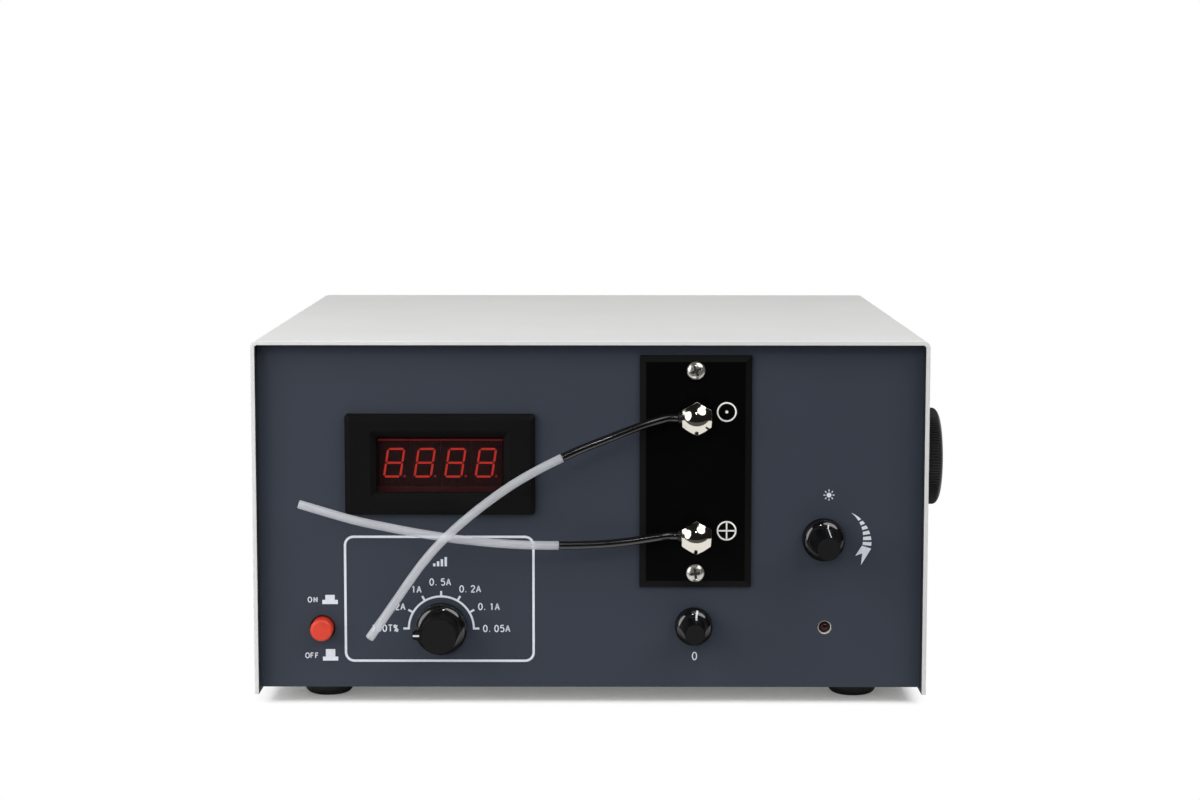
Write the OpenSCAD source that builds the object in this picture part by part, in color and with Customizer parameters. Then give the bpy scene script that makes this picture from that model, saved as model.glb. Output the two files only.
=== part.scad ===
// Bench ultraviolet flow detector: sheet casing, front controls, flow cell, optics and electronics.
// Millimetres, +X to the right seen from the front, +Y to the back, +Z up.
// The origin lies on the bench, under the centre of the casing.

/* [Casing] */
// Width of the cover over its side walls
case_w = 280; // [272:1:340]
// Depth of the cover from its front lip to its rear lip
case_d = 280; // [262:1:340]
// Height of the cover from its lower edge to its top
cover_h = 148; // [130:1:190]
// Sheet thickness of the cover
cover_t = 1.6; // [1:0.1:2.5]
// Inner radius of the bends along the cover's top
bend_r = 0.9; // [0.5:0.1:4]
// Set-back of the panels behind the cover's lips
panel_inset = 6; // [3:0.5:10]
// Thickness of the front and rear panels
panel_t = 2; // [1.5:0.1:3]
// Gap between the frame and the cover
panel_gap = 0.4; // [0.2:0.1:1]
// Thickness of the base plate
base_t = 1.5; // [1:0.1:3]
// How far the cover's side walls reach below the base plate
cover_lap = 2; // [0:0.5:4]
// Leg width of the frame angles
rail_w = 12; // [9:0.5:16]
// Sheet thickness of the frame angles and brackets
rail_t = 1.5; // [1:0.1:2.5]

/* [Feet and screws] */
// Diameter of the rubber feet
foot_d = 20.5; // [16:0.5:26]
// Diameter of the rubber feet where they touch the bench
foot_tip_d = 14; // [12:0.5:15]
// Height of the rubber feet
foot_h = 7.5; // [5.5:0.5:15]
// Distance between the feet across the casing
foot_span = 224; // [180:1:236]
// Distance of the feet's centres from the cover's lips
foot_inset = 31; // [25:1:60]
// Shank diameter of the casing screws
screw_d = 4; // [3:0.5:5]
// Head diameter of the casing screws
head_d = 8; // [6.5:0.5:9]
// Head height of the casing screws
head_h = 2.8; // [2:0.1:3.5]
// Distance of the cover's side screws from its lips
side_screw_inset = 50; // [30:1:90]

/* [Front panel layout] */
// Height of the lower row of controls above the base plate's underside
row_h = 25; // [22:0.5:28]
// Place of the power button across the panel
power_x = -112; // [-116:0.5:-100]
// Place of the range switch and the meter across the panel
range_x = -62.3; // [-66:0.1:-58]
// Place of the flow cell across the panel
cell_x = 43.7; // [40:0.1:46]
// Place of the zero knob across the panel
zero_x = 43.2; // [40:0.1:46]
// Height of the zero knob above the lower row's other controls
zero_rise = 1.2; // [0:0.1:3]
// Place of the indicator across the panel
led_x = 98; // [95:0.1:105]
// Height of the indicator above the lower row's other controls
led_rise = 0.4; // [0:0.1:3]
// Place of the light knob across the panel
light_x = 97.1; // [95:0.1:105]
// Height of the light knob above the base plate's underside
light_h = 62.9; // [55:0.1:66]
// Height of the meter's centre above the base plate's underside
meter_h = 94.3; // [85:0.1:105]

/* [Meter] */
// Width of the meter's bezel
bezel_w = 79; // [77:0.5:84]
// Height of the meter's bezel
bezel_h = 42; // [40:0.5:46]
// How far the bezel stands proud of the panel
bezel_t = 4.5; // [3:0.5:8]
// Corner radius of the bezel
bezel_r = 1.5; // [0.5:0.5:4]
// Width of the meter's window
window_w = 53; // [52:0.5:58]
// Height of the meter's window
window_h = 23.4; // [21:0.1:26]
// Thickness of the window
window_t = 1.5; // [1:0.1:2]
// Slope of the recess around the window, across its rim
recess_rim = 2.2; // [1:0.1:4]
// Outer width of the meter's case behind the panel
meter_case_w = 74; // [70:0.5:75]
// Outer height of the meter's case behind the panel
meter_case_h = 37; // [34:0.5:38]
// Depth of the meter's case behind the panel's face
meter_depth = 42; // [25:1:60]
// Wall of the meter's case
meter_wall = 1.6; // [1:0.1:2.5]
// Distance from digit to digit
digit_pitch = 12.7; // [12.5:0.05:12.8]
// Height of a digit block
digit_h = 19; // [17:0.5:20]
// Depth of a digit block
digit_t = 8; // [6:0.5:10]
// Thickness of the circuit boards
board_t = 1.6; // [1:0.1:2.4]

/* [Knobs and switches] */
// Diameter of the control shafts
shaft_d = 6; // [5:0.5:6.5]
// Radial running clearance of a shaft in its bush
run_gap = 0.05; // [0.02:0.01:0.09]
// Gap between a knob's base and the panel
knob_gap = 0.6; // [0.3:0.1:1.5]
// Base diameter of the range knob
range_knob_d = 21.6; // [19.5:0.1:26]
// Face diameter of the range knob
range_face_d = 14.8; // [12:0.1:18]
// Height of the range knob
range_knob_h = 17.5; // [14:0.5:24]
// Reach of the range knob's pointer from its axis
pointer_reach = 11; // [9:0.1:14]
// Base diameter of the light knob
light_knob_d = 17.6; // [16:0.1:22]
// Face diameter of the light knob
light_face_d = 9.6; // [8.4:0.1:11]
// Height of the light knob
light_knob_h = 26.4; // [16:0.1:30]
// Base diameter of the zero knob
zero_knob_d = 15.6; // [15.6:0.1:18]
// Face diameter of the zero knob
zero_face_d = 8.4; // [8.4:0.1:10]
// Height of the zero knob
zero_knob_h = 19; // [16:0.5:26]
// Diameter of the range switch's bush
range_bush_d = 9; // [8:0.5:10]
// Width across flats of the range switch's nut
range_nut_af = 13; // [12:0.5:14]
// Diameter of the potentiometers' bushes
pot_bush_d = 7; // [7:0.1:8]
// Width across flats of the potentiometers' nuts
pot_nut_af = 10; // [9:0.5:10.5]
// Thickness of the bush nuts
bush_nut_t = 2; // [1.5:0.1:3]
// How far the bushes stand out of the panel
bush_out = 5; // [4:0.5:6]
// Diameter of the range switch's body
range_body_d = 28; // [24:0.5:34]
// Depth of the range switch's body
range_body_l = 24; // [15:1:40]
// Diameter of the potentiometers' bodies
pot_body_d = 17; // [15:0.5:20]
// Depth of the potentiometers' bodies
pot_body_l = 11; // [8:0.5:13]
// Height of the range knob's base rim
range_base_t = 3.5; // [3.5:0.5:5]
// Height of the light and zero knobs' base rims
pot_base_t = 4; // [4:0.5:6]
// Width and height of the rounded shoulder above a control knob's rim
knob_shoulder = 2.3; // [1.5:0.1:2.4]
// Thickness of a control knob's front over its shaft bore
knob_crown = 4.5; // [3:0.5:6]

/* [Power button and indicator] */
// Diameter of the power button's cap
cap_d = 9.4; // [8.6:0.1:12]
// How far the cap stands out of the panel
cap_out = 6.2; // [6:0.1:12]
// How far the cap reaches behind the panel's face
cap_hidden = 3; // [2.5:0.1:5]
// Radial gap around the cap in the panel
cap_gap = 0.7; // [0.3:0.1:1.2]
// Travel of the power button
cap_travel = 3.5; // [2:0.5:5]
// Diameter of the button's plunger
plunger_d = 4; // [3:0.5:5]
// Mean diameter of the button's return spring
spring_d = 7; // [6.4:0.1:8]
// Wire diameter of the return spring
wire_d = 0.8; // [0.6:0.1:1]
// Turns of the return spring
spring_turns = 5; // [4:1:6]
// Length of the return spring between cap and bracket
spring_l = 10; // [9:0.5:14]
// Width and height of the power switch's body
switch_w = 12; // [10:0.5:16]
// Depth of the power switch's body
switch_l = 24; // [16:1:34]
// Diameter of the indicator's lens
lens_d = 4.8; // [3:0.1:5.4]
// Diameter of the indicator's hole in the panel
led_hole_d = 5.7; // [5.5:0.1:8]
// How far the lens's tip lies behind the panel's face
led_back = 0.4; // [0.2:0.1:1]
// How far the indicator reaches behind the panel
led_l = 6; // [4:0.5:10]

/* [Flow cell] */
// Width of the black flow-cell plate
plate_w = 46.5; // [42:0.5:52]
// Gap between the panel's upper edge and the black flow-cell plate
plate_top_gap = 4.3; // [3:0.1:8]
// Gap between the black flow-cell plate and the zero knob below it
plate_low_gap = 8.7; // [6:0.1:14]
// Thickness of the black flow-cell plate
plate_t = 2.2; // [1.5:0.1:4]
// Height of the plate's centre above the optical axis
plate_rise = 1.7; // [0:0.1:2.5]
// Distance of the plate's two screws from its upper and lower edges
plate_screw_inset = 6.2; // [5.5:0.1:7.5]
// Distance of the outlet and inlet nuts from the plate's edges, before the plate's rise
port_inset = 23.9; // [22:0.1:27]
// Width across flats of the cap nuts
cap_nut_af = 12; // [10:0.5:14]
// Height of a cap nut's hexagon
cap_nut_hex = 6; // [5:0.5:8]
// Radius of a cap nut's dome
cap_dome_r = 5.9; // [4.5:0.1:6.2]
// Outer diameter of the tube collars
collar_d = 12; // [11:0.1:14]
// Thickness of the tube collars
collar_t = 5.6; // [5:0.1:8]
// Outer diameter of the hollow studs
stud_d = 6; // [5:0.5:7]
// Bore of the hollow studs
stud_bore = 2; // [1.5:0.1:3]
// How deep the studs screw into the cell block
stud_in = 10; // [8:1:12]
// Width of the cell block
block_w = 28; // [24:1:32]
// How far the cell block's nose reaches past the outlet and the inlet
nose_edge = 7.4; // [6.5:0.1:9]
// How far the nose reaches behind the panel before the block widens downwards
nose_depth = 12; // [9:0.5:14]
// Distance from the beam to the cell block's back
block_back = 12; // [10:1:16]
// Outer diameter of the cuvette
cuvette_d = 10; // [9:0.5:11]
// Bore of the cuvette
cuvette_bore = 3; // [2:0.5:4]
// Diameter of the light bores
beam_d = 6; // [4:0.5:8]

/* [Tubes] */
// Outer diameter of the black sleeves
sleeve_d = 2.9; // [2.4:0.1:3.4]
// Bore of the black sleeves
sleeve_bore = 1.4; // [1:0.1:1.8]
// Outer diameter of the clear tubes
tube_d = 3.5; // [3:0.1:4]
// Bore of the clear tubes
tube_bore = 2; // [1.5:0.1:2.4]

/* [Optics] */
// Distance of the filter wheel's axis behind the cover's front lip
wheel_back = 70; // [66:0.5:80]
// Pitch radius of the filters on the wheel
filter_ring_r = 24; // [22:0.5:26]
// Number of filters on the wheel
filter_n = 4; // [3:1:6]
// Diameter of a filter glass
filter_d = 14; // [10:0.5:16]
// Rim of the wheel outside the filters
wheel_rim = 3; // [2:0.5:5]
// Thickness of the filter wheel
wheel_t = 3; // [2:0.5:4]
// Gap between the cell block and the filter wheel
wheel_gap = 4; // [3:0.5:6]
// Diameter of the side knob
side_knob_d = 42.4; // [36:0.1:50]
// Thickness of the side knob
side_knob_t = 12; // [10:0.5:18]
// Gap between the side knob and the cover
side_gap = 0.7; // [0.4:0.1:1.5]
// Number of ridges on the side knob
knurl_n = 72; // [48:1:90]
// Depth of the side knob's ridges
knurl_depth = 0.5; // [0.3:0.1:0.8]
// Thickness of the side knob's front over its shaft bore
side_crown = 2.5; // [2:0.5:4]
// Height of the optical axis above the optical bench
beam_rise = 52; // [48:0.5:56]
// Thickness of the optical bench
bench_t = 3; // [2:0.5:4]
// Width of the lamp housing along the beam
lamp_box_w = 42; // [36:1:46]
// Depth of the lamp housing across the beam
lamp_box_d = 30; // [26:1:32]
// Height of the lamp housing
lamp_box_h = 95; // [85:1:98]
// Wall of the lamp housing
lamp_wall = 2; // [1.5:0.5:3]
// Diameter of the lamp
lamp_d = 13; // [10:0.5:16]
// Length of the lamp's glass above its socket
lamp_l = 72; // [60:1:76]
// Diameter of the lamp's socket
socket_d = 18; // [18:0.5:22]
// Height of the lamp's socket
socket_h = 12; // [8:1:14]
// Diameter of the detector housing
detector_d = 24; // [18:0.5:30]
// Length of the detector housing
detector_l = 30; // [20:1:34]
// Diameter of the photodiode's can
diode_d = 12; // [8:0.5:14]

/* [Electronics and rear] */
// Width of the main board
board_w = 130; // [90:1:140]
// Depth of the main board
board_d = 100; // [80:1:110]
// Distance of the main board's holes from its edges
hole_inset = 6; // [5:0.5:10]
// Place of the main board's front edge
board_y = -10; // [-20:1:10]
// Height of the standoffs under the main board
standoff_h = 8; // [6:0.5:12]
// Width of the transformer's core
core_w = 66; // [60:1:72]
// Stack thickness of the transformer's core
core_t = 30; // [24:1:40]
// Diameter of the board's capacitors
capacitor_d = 18; // [12:0.5:20]
// Height of the board's capacitors
capacitor_h = 30; // [16:1:40]
// Width of the heat sink
sink_w = 24; // [16:1:30]
// Depth of the heat sink
sink_t = 12; // [8:1:18]
// Height of the heat sink
sink_h = 25; // [15:1:40]
// Width of the board's connector
connector_w = 60; // [30:1:70]
// Depth of the board's connector
connector_t = 6; // [4:0.5:10]
// Height of the board's connector
connector_h = 9; // [6:0.5:14]
// Length of a circuit on the board
circuit_w = 15; // [10:0.5:19]
// Depth of a circuit on the board
circuit_t = 7; // [5:0.5:10]
// Height of a circuit on the board
circuit_h = 4; // [2:0.5:6]
// Distance between the circuits, and between the rows of parts
part_pitch = 20; // [20:1:26]
// Place of the transformer along the casing
core_y = 60; // [40:1:64]
// Gap between the transformer's coil and its core
coil_gap = 0.3; // [0.2:0.1:0.5]
// Place of the mains inlet and the transformer across the rear panel
inlet_x = 85; // [70:1:90]
// Height of the rear connectors above the base plate's underside
inlet_h = 33; // [28:1:40]
// Width of the mains inlet's body
inlet_body_w = 27.5; // [26:0.5:30]
// Height of the mains inlet's body
inlet_body_h = 20; // [19:0.5:24]
// Depth of the mains inlet's mouth behind its flange
inlet_depth = 17; // [15:0.5:20]
// Diameter of the fuse holder's body
fuse_d = 12; // [10:0.5:16]
// Length of the fuse holder behind the rear panel
fuse_l = 30; // [20:1:36]
// Place of the fuse holder across the rear panel
fuse_x = 40; // [30:1:45]
// Place of the output sockets' midpoint across the rear panel
output_x = -70; // [-90:1:-50]
// Distance between the two output sockets
output_span = 19; // [19:0.5:26]
// Diameter of the output sockets' bodies
output_d = 8; // [7:0.5:10]
// Bore of the output sockets
output_bore = 4; // [4:0.1:4.4]
// Depth of the output sockets' bores
output_depth = 18; // [14:0.5:24]
// Thickness of the output sockets' rims
output_rim_t = 3; // [2:0.5:4]
// Width of the output sockets' rims
output_rim_w = 2; // [1:0.5:3]

/* [Hidden] */
$fn = 64;
// Small overlap that joins the shapes of one piece
eps = 0.2;
// Clearance between pieces that are fixed together
fit = 0.1;
// Gap between a shaft's end and the bottom of its bore
end_gap = 0.5;
// How far a screw reaches past the last piece that it holds
screw_past = 3;
// Room round a bush nut inside its knob
nut_room = 0.5;
// Closed end of a switch or potentiometer behind its shaft
body_floor = 3;

base_z = foot_h;
floor_z = base_z + base_t;
cover_z = base_z - cover_lap;
top_z = cover_z + cover_h;
in_x = case_w / 2 - cover_t;
frame_x = in_x - panel_gap;
frame_top = top_z - cover_t - panel_gap;
panel_y = panel_inset - case_d / 2;
behind_y = panel_y + panel_t;
rear_y = -panel_y;
frame_d = 2 * (rear_y - panel_t);

row_z = base_z + row_h;
zero_z = row_z + zero_rise;
led_z = row_z + led_rise;
light_z = base_z + light_h;
meter_z = base_z + meter_h;
plate_top = frame_top - plate_top_gap;
plate_low = zero_z + zero_knob_d / 2 + plate_low_gap;
plate_h = plate_top - plate_low;
plate_z = (plate_top + plate_low) / 2;
plate_screw_span = plate_h - 2 * plate_screw_inset;
optic_z = plate_z - plate_rise;
inlet_z = base_z + inlet_h;
side_screw_z = floor_z + rail_w / 2;
head_dome = 0.55 * head_h;

wheel_y = wheel_back - case_d / 2;
beam_y = wheel_y - filter_ring_r;
wheel_r = filter_ring_r + filter_d / 2 + wheel_rim;
wheel_x = cell_x + block_w / 2 + wheel_gap;
bench_top = optic_z - beam_rise;
bench_z = bench_top - bench_t;
bench_edge = 2;
bench_left = cell_x - block_w / 2 - bench_edge;
bench_front = beam_y - lamp_box_d / 2 - bench_edge;
lamp_x0 = wheel_x + wheel_t + wheel_gap;
lamp_x = lamp_x0 + lamp_box_w / 2;
bearing_w = 2 * (wheel_y - beam_y - lamp_box_d / 2 - 1);
bearing_t = 4;
bearing_x1 = lamp_x0 + lamp_box_w - bearing_t;
bench_back = wheel_y + bearing_w / 2 + 7 * bench_edge;
bench_right = bearing_x1 + bearing_t + bench_edge;
side_knob_x = case_w / 2 + side_gap;

led_rim_t = 1.2;
spring_back = panel_y + cap_hidden;
bracket_y = spring_back + spring_l;

port_span = plate_h - 2 * port_inset;
nose_h = port_span + 2 * nose_edge;
ports = [optic_z + port_span / 2, optic_z - port_span / 2];
collar_z = plate_t + collar_t / 2;
boss_l = 1.2;
cuvette_end = 3;
cuvette_half = port_span / 2 + stud_bore + cuvette_end;
diode_seat = 3;
lamp_seat = 5;

board_side = 6;
board_x = rail_w + board_side - frame_x;
board_z = floor_z + standoff_h;
board_screw_d = 3;
core_h = core_w * 5 / 6;
limb = core_w / 6;
pin_w = 2;
pin_h = 4;
pin_side = 7;
pin_drop = 2;
pin_places = [[-pin_side, -pin_drop], [pin_side, -pin_drop], [0, pin_drop]];

// Routes of the four tubes, each from its collar or joint to its far end
outlet_sleeve_route = [
    [36.5, -139, 121.6], [33, -139, 121.6], [29.5, -139.5, 121], [23, -141, 119.2], [16, -142.5, 116.8],
    [9, -144, 114.2], [2, -145, 111.6], [-5, -146, 108.9], [-11.5, -147, 106]
];
outlet_tube_route = [
    [-11.5, -147, 106], [-18, -148, 102.9], [-24.5, -149, 99.5], [-31, -149.5, 95.7], [-37, -150, 91.7],
    [-43, -151, 87.4], [-48.6, -151.5, 83], [-54.2, -152, 78.3], [-59.6, -152.5, 73.3], [-64.6, -153, 68],
    [-69.3, -153, 62.3], [-73.7, -153.5, 56.3], [-77.9, -154, 50.2], [-82.1, -154, 44.1],
    [-86.4, -154, 38], [-90.7, -154, 32]
];
inlet_sleeve_route = [
    [36.5, -139, 72.4], [33, -139, 72.4], [29.5, -139.5, 72.1], [23, -140, 71.2], [16, -140.5, 70.2],
    [9, -141, 69.5], [2, -141.5, 69.1], [-5.5, -142, 68.9], [-13, -142.5, 68.9]
];
inlet_tube_route = [
    [-13, -142.5, 68.9], [-20, -143, 69], [-27.5, -143.5, 69.3], [-35, -144, 69.8], [-42, -144.5, 70.4],
    [-49.5, -144.5, 71.2], [-56.5, -145, 72.1], [-63.5, -145, 73.2], [-71, -145.5, 74.5],
    [-78, -145.5, 75.8], [-85, -145.5, 77.2], [-92, -146, 78.7], [-99, -146, 80.4], [-106, -146, 82.4],
    [-113, -146, 84.5], [-120, -146, 86.6]
];

// Frames of the faces: local z points out of the face, local y up on the panels
module at_panel(x, z) { translate([x, panel_y, z]) rotate([90, 0, 0]) children(); }
module at_rear(x, z) { translate([x, rear_y, z]) rotate([90, 0, 180]) children(); }
module along_x(x, y, z) { translate([x, y, z]) rotate([0, 90, 0]) children(); }

// Flat outline with rounded corners, centred
module round_plate(w, h, r) {
    square([w - 2 * r, h], center = true);
    square([w, h - 2 * r], center = true);
    for (sx = [-1, 1], sy = [-1, 1]) translate([sx * (w / 2 - r), sy * (h / 2 - r)]) circle(r);
}

// Flat outline standing on y = 0 with two rounded upper corners
module round_top(w, h, r) {
    translate([-w / 2, 0]) square([w, h - r]);
    translate([r - w / 2, 0]) square([w - 2 * r, h]);
    for (s = [-1, 1]) translate([s * (w / 2 - r), h - r]) circle(r);
}

// Pan head screw with a cross recess, its head's underside on z = 0
module pan_screw(length) {
    dome_r = (pow(head_d / 2, 2) + pow(head_dome, 2)) / (2 * head_dome);
    cross_l = 0.55 * head_d;
    cross_w = 0.13 * head_d;
    difference() {
        union() {
            intersection() {
                cylinder(h = head_h, d = head_d);
                translate([0, 0, head_h - dome_r]) sphere(dome_r, $fn = 96);
            }
            translate([0, 0, -length]) cylinder(h = length + eps, d = screw_d);
        }
        for (a = [0, 90]) rotate(a) translate([-cross_l / 2, -cross_w / 2, head_h / 2])
            cube([cross_l, cross_w, head_h]);
    }
}

// Hexagon with flats to the left and right
module hexagon(af, h) { rotate(30) cylinder(h = h, d = af / cos(30), $fn = 6); }

// Turned knob: base rim with a rounded shoulder, cone and bevelled face, hollow behind for its nut, with a
// blind shaft bore
module turned_knob(base_d, rim_t, face_d, h, nut_af) {
    bevel = 0.6;
    recess_r = nut_af / cos(30) / 2 + nut_room;
    shoulder = [for (a = [0:15:90])
        [base_d / 2 - knob_shoulder * (1 - cos(a)), rim_t + knob_shoulder * sin(a)]];
    rotate_extrude() difference() {
        polygon(concat([[0, 0], [base_d / 2, 0]], shoulder,
            [[face_d / 2, h - bevel], [face_d / 2 - bevel, h], [0, h]]));
        translate([-eps, -eps]) square([recess_r + eps, bush_out - knob_gap + end_gap + eps]);
        translate([-eps, -eps]) square([shaft_d / 2 + fit + eps, h - knob_crown + eps]);
    }
}

// Switch or potentiometer behind the panel, with a bush through it and a bore for its shaft
module bushed_body(body_d, body_l, bush_d) {
    difference() {
        union() {
            translate([0, 0, -panel_t - body_l]) cylinder(h = body_l, d = body_d);
            translate([0, 0, -panel_t - eps]) cylinder(h = panel_t + bush_out + eps, d = bush_d);
        }
        translate([0, 0, -panel_t - body_l + body_floor])
            cylinder(h = body_l + panel_t + bush_out, r = shaft_d / 2 + run_gap);
    }
}

// Shaft from inside a switch body to inside its knob
module control_shaft(body_l, knob_h) {
    from = -panel_t - body_l + body_floor + end_gap;
    translate([0, 0, from]) cylinder(h = knob_gap + knob_h - knob_crown - end_gap - from, d = shaft_d);
}

// Hollow swept tubes along a route
function unit(v) = v / norm(v);
function heading(p, i) = unit(p[min(i + 1, len(p) - 1)] - p[max(i - 1, 0)]);
function ring(c, t, r, n) = let (a = unit(cross(t, [0, 1, 0])), b = cross(a, t))
    [for (k = [0:n - 1]) c + r * (cos(360 * k / n) * a + sin(360 * k / n) * b)];
function rings(p, r, n) = [for (i = [0:len(p) - 1]) each ring(p[i], heading(p, i), r, n)];
function skin(m, n, first, inward) = [for (i = [0:m - 2], k = [0:n - 1])
    let (a = first + i * n + k, b = first + i * n + (k + 1) % n, c = b + n, d = a + n)
    each (inward ? [[a, b, c], [a, c, d]] : [[c, b, a], [d, c, a]])];

module hose(route, outer_d, bore_d) {
    n = 8;
    m = len(route);
    inner = m * n;
    last = inner - n;
    ends = [for (k = [0:n - 1]) let (j = (k + 1) % n) each [
        [k, j, inner + j], [k, inner + j, inner + k],
        [last + j, last + k, inner + last + k], [last + j, inner + last + k, inner + last + j]]];
    polyhedron(
        points = concat(rings(route, outer_d / 2, n), rings(route, bore_d / 2, n)),
        faces = concat(skin(m, n, 0, false), skin(m, n, inner, true), ends));
}

module wire(route, d) {
    n = 6;
    m = len(route);
    last = (m - 1) * n;
    ends = [for (k = [1:n - 2]) each [[0, k, k + 1], [last, last + k + 1, last + k]]];
    polyhedron(points = rings(route, d / 2, n), faces = concat(skin(m, n, 0, false), ends));
}

// Casing

module top_cover() {
    color("gainsboro") difference() {
        translate([0, case_d / 2, cover_z]) rotate([90, 0, 0]) linear_extrude(case_d) difference() {
            round_top(case_w, cover_h, bend_r + cover_t);
            translate([0, -eps]) round_top(case_w - 2 * cover_t, cover_h - cover_t + eps, bend_r);
        }
        for (s = [-1, 1]) translate([0, s * (case_d / 2 - side_screw_inset), side_screw_z])
            rotate([0, 90, 0]) cylinder(h = case_w + 2, r = screw_d / 2 + 2 * fit, center = true);
        along_x(in_x - 1, wheel_y, optic_z) cylinder(h = cover_t + 2, r = shaft_d / 2 + 1);
    }
}

module base_plate() {
    vent_l = 40;
    vent_w = 4;
    vent_pitch = 10;
    color("silver") difference() {
        translate([-frame_x, -frame_d / 2, base_z]) cube([2 * frame_x, frame_d, base_t]);
        each_foot() translate([0, 0, base_z - 1]) cylinder(h = base_t + 2, r = screw_d / 2 + fit);
        for (i = [-2:2]) translate([vent_pitch * i - vent_w / 2, -vent_l, base_z - 1])
            cube([vent_w, vent_l, base_t + 2]);
    }
}

// Sheet that fills the casing's front or back, its rear side on y = back, less its cut-outs
module panel_sheet(back) {
    translate([0, back, 0]) rotate([90, 0, 0]) linear_extrude(panel_t) difference() {
        translate([-frame_x, base_z]) square([2 * frame_x, frame_top - base_z]);
        children();
    }
}

// Rectangular cut-out round a body of the given size
module body_hole(x, z, w, h) { translate([x, z]) square([w + 6 * fit, h + 6 * fit], center = true); }

module front_panel() {
    color("darkslategray") panel_sheet(behind_y) {
        body_hole(range_x, meter_z, meter_case_w, meter_case_h);
        body_hole(cell_x, optic_z, block_w, nose_h);
        for (s = [-1, 1]) translate([cell_x, plate_z + s * plate_screw_span / 2])
            circle(screw_d / 2 + fit);
        translate([range_x, row_z]) circle(range_bush_d / 2 + fit);
        translate([light_x, light_z]) circle(pot_bush_d / 2 + fit);
        translate([zero_x, zero_z]) circle(pot_bush_d / 2 + fit);
        translate([power_x, row_z]) circle(cap_d / 2 + cap_gap);
        translate([led_x, led_z]) circle(led_hole_d / 2);
    }
}

module rear_panel() {
    vent_n = 9;
    vent_pitch = 8;
    vent_w = 3.5;
    vent_h = 50;
    color("darkslategray") panel_sheet(rear_y) {
        body_hole(inlet_x, inlet_z, inlet_body_w, inlet_body_h);
        translate([fuse_x, inlet_z]) circle(fuse_d / 2 + fit);
        for (s = [-1, 1]) translate([output_x + s * output_span / 2, inlet_z]) circle(output_d / 2 + fit);
        for (i = [0:vent_n - 1]) translate([inlet_x + vent_pitch * (i - (vent_n - 1) / 2), optic_z])
            square([vent_w, vent_h], center = true);
    }
}

module frame_angle() {
    // Two legs that meet at the origin's corner, running along +Y
    cube([rail_w, frame_d, rail_t]);
    cube([rail_t, frame_d, rail_w]);
}

module frame_rails() {
    color("silver") difference() {
        for (s = [0, 1]) mirror([s, 0, 0]) {
            translate([-frame_x, -frame_d / 2, floor_z]) frame_angle();
            translate([-frame_x, -frame_d / 2, frame_top]) mirror([0, 0, 1]) frame_angle();
        }
        for (s = [-1, 1]) translate([0, s * (case_d / 2 - side_screw_inset), side_screw_z])
            rotate([0, 90, 0]) cylinder(h = case_w, r = screw_d / 2 + run_gap, center = true);
        each_foot() cylinder(h = floor_z + rail_w, r = screw_d / 2 + fit);
    }
}

module each_foot() {
    for (sx = [-1, 1], sy = [-1, 1])
        translate([sx * foot_span / 2, sy * (case_d / 2 - foot_inset), 0]) children();
}

module rubber_feet() {
    edge = 0.5;
    round_w = (foot_d - foot_tip_d) / 2;
    round_h = 0.45 * foot_h;
    side = [for (a = [0:15:90]) [foot_tip_d / 2 + round_w * sin(a), round_h * (1 - cos(a))]];
    color("black") each_foot() rotate_extrude() difference() {
        polygon(concat([[0, 0]], side,
            [[foot_d / 2, foot_h - edge], [foot_d / 2 - edge, foot_h], [0, foot_h]]));
        translate([-eps, -eps]) square([screw_d / 2 + 2 * fit + eps, foot_h + 2 * eps]);
        translate([-eps, -eps]) square([head_d / 2 + 0.5 + eps, foot_h / 2 + eps]);
    }
}

module foot_screws() {
    color("silver") each_foot() translate([0, 0, foot_h / 2]) rotate([180, 0, 0])
        pan_screw(foot_h / 2 + base_t + screw_past);
}

module cover_screws() {
    color("silver") for (s = [0, 1], e = [-1, 1]) mirror([s, 0, 0])
        along_x(case_w / 2, e * (case_d / 2 - side_screw_inset), side_screw_z)
            pan_screw(cover_t + panel_gap + rail_t + screw_past);
}

// Meter

module meter_housing() {
    cavity_w = meter_case_w - 2 * meter_wall;
    cavity_h = meter_case_h - 2 * meter_wall;
    color("black") at_panel(range_x, meter_z) difference() {
        union() {
            linear_extrude(bezel_t) round_plate(bezel_w, bezel_h, bezel_r);
            translate([0, 0, -meter_depth]) linear_extrude(meter_depth + eps)
                square([meter_case_w, meter_case_h], center = true);
        }
        translate([0, 0, -meter_depth - 1]) linear_extrude(meter_depth + 1)
            square([cavity_w, cavity_h], center = true);
        linear_extrude(3 * bezel_t, center = true) square([window_w, window_h], center = true);
        translate([0, 0, bezel_t / 2]) window_slope();
    }
}

// Sloped recess that narrows from the bezel's face to the window
module window_slope() {
    depth = bezel_t / 2;
    spread = 2 * recess_rim;
    linear_extrude(depth, slices = 1, $fn = 4, scale = [1 + spread / window_w, 1 + spread / window_h])
        square([window_w, window_h], center = true);
}

module meter_window() {
    lap = 3;
    color("maroon") at_panel(range_x, meter_z) translate([0, 0, -window_t]) linear_extrude(window_t)
        square([window_w + lap, window_h + lap], center = true);
}

module meter_display() {
    color("dimgray") at_panel(range_x, meter_z) for (i = [0:3])
        translate([(i - 1.5) * digit_pitch, 0, -window_t - fit - digit_t]) linear_extrude(digit_t)
            square([digit_pitch - 2 * fit, digit_h], center = true);
}

module meter_board() {
    color("darkgreen") at_panel(range_x, meter_z) translate([0, 0, -window_t - fit - digit_t - board_t])
        linear_extrude(board_t) square([meter_case_w - 2 * meter_wall - 2 * fit,
            meter_case_h - 2 * meter_wall - 2 * fit], center = true);
}

// Range switch, light control and zero control

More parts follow.
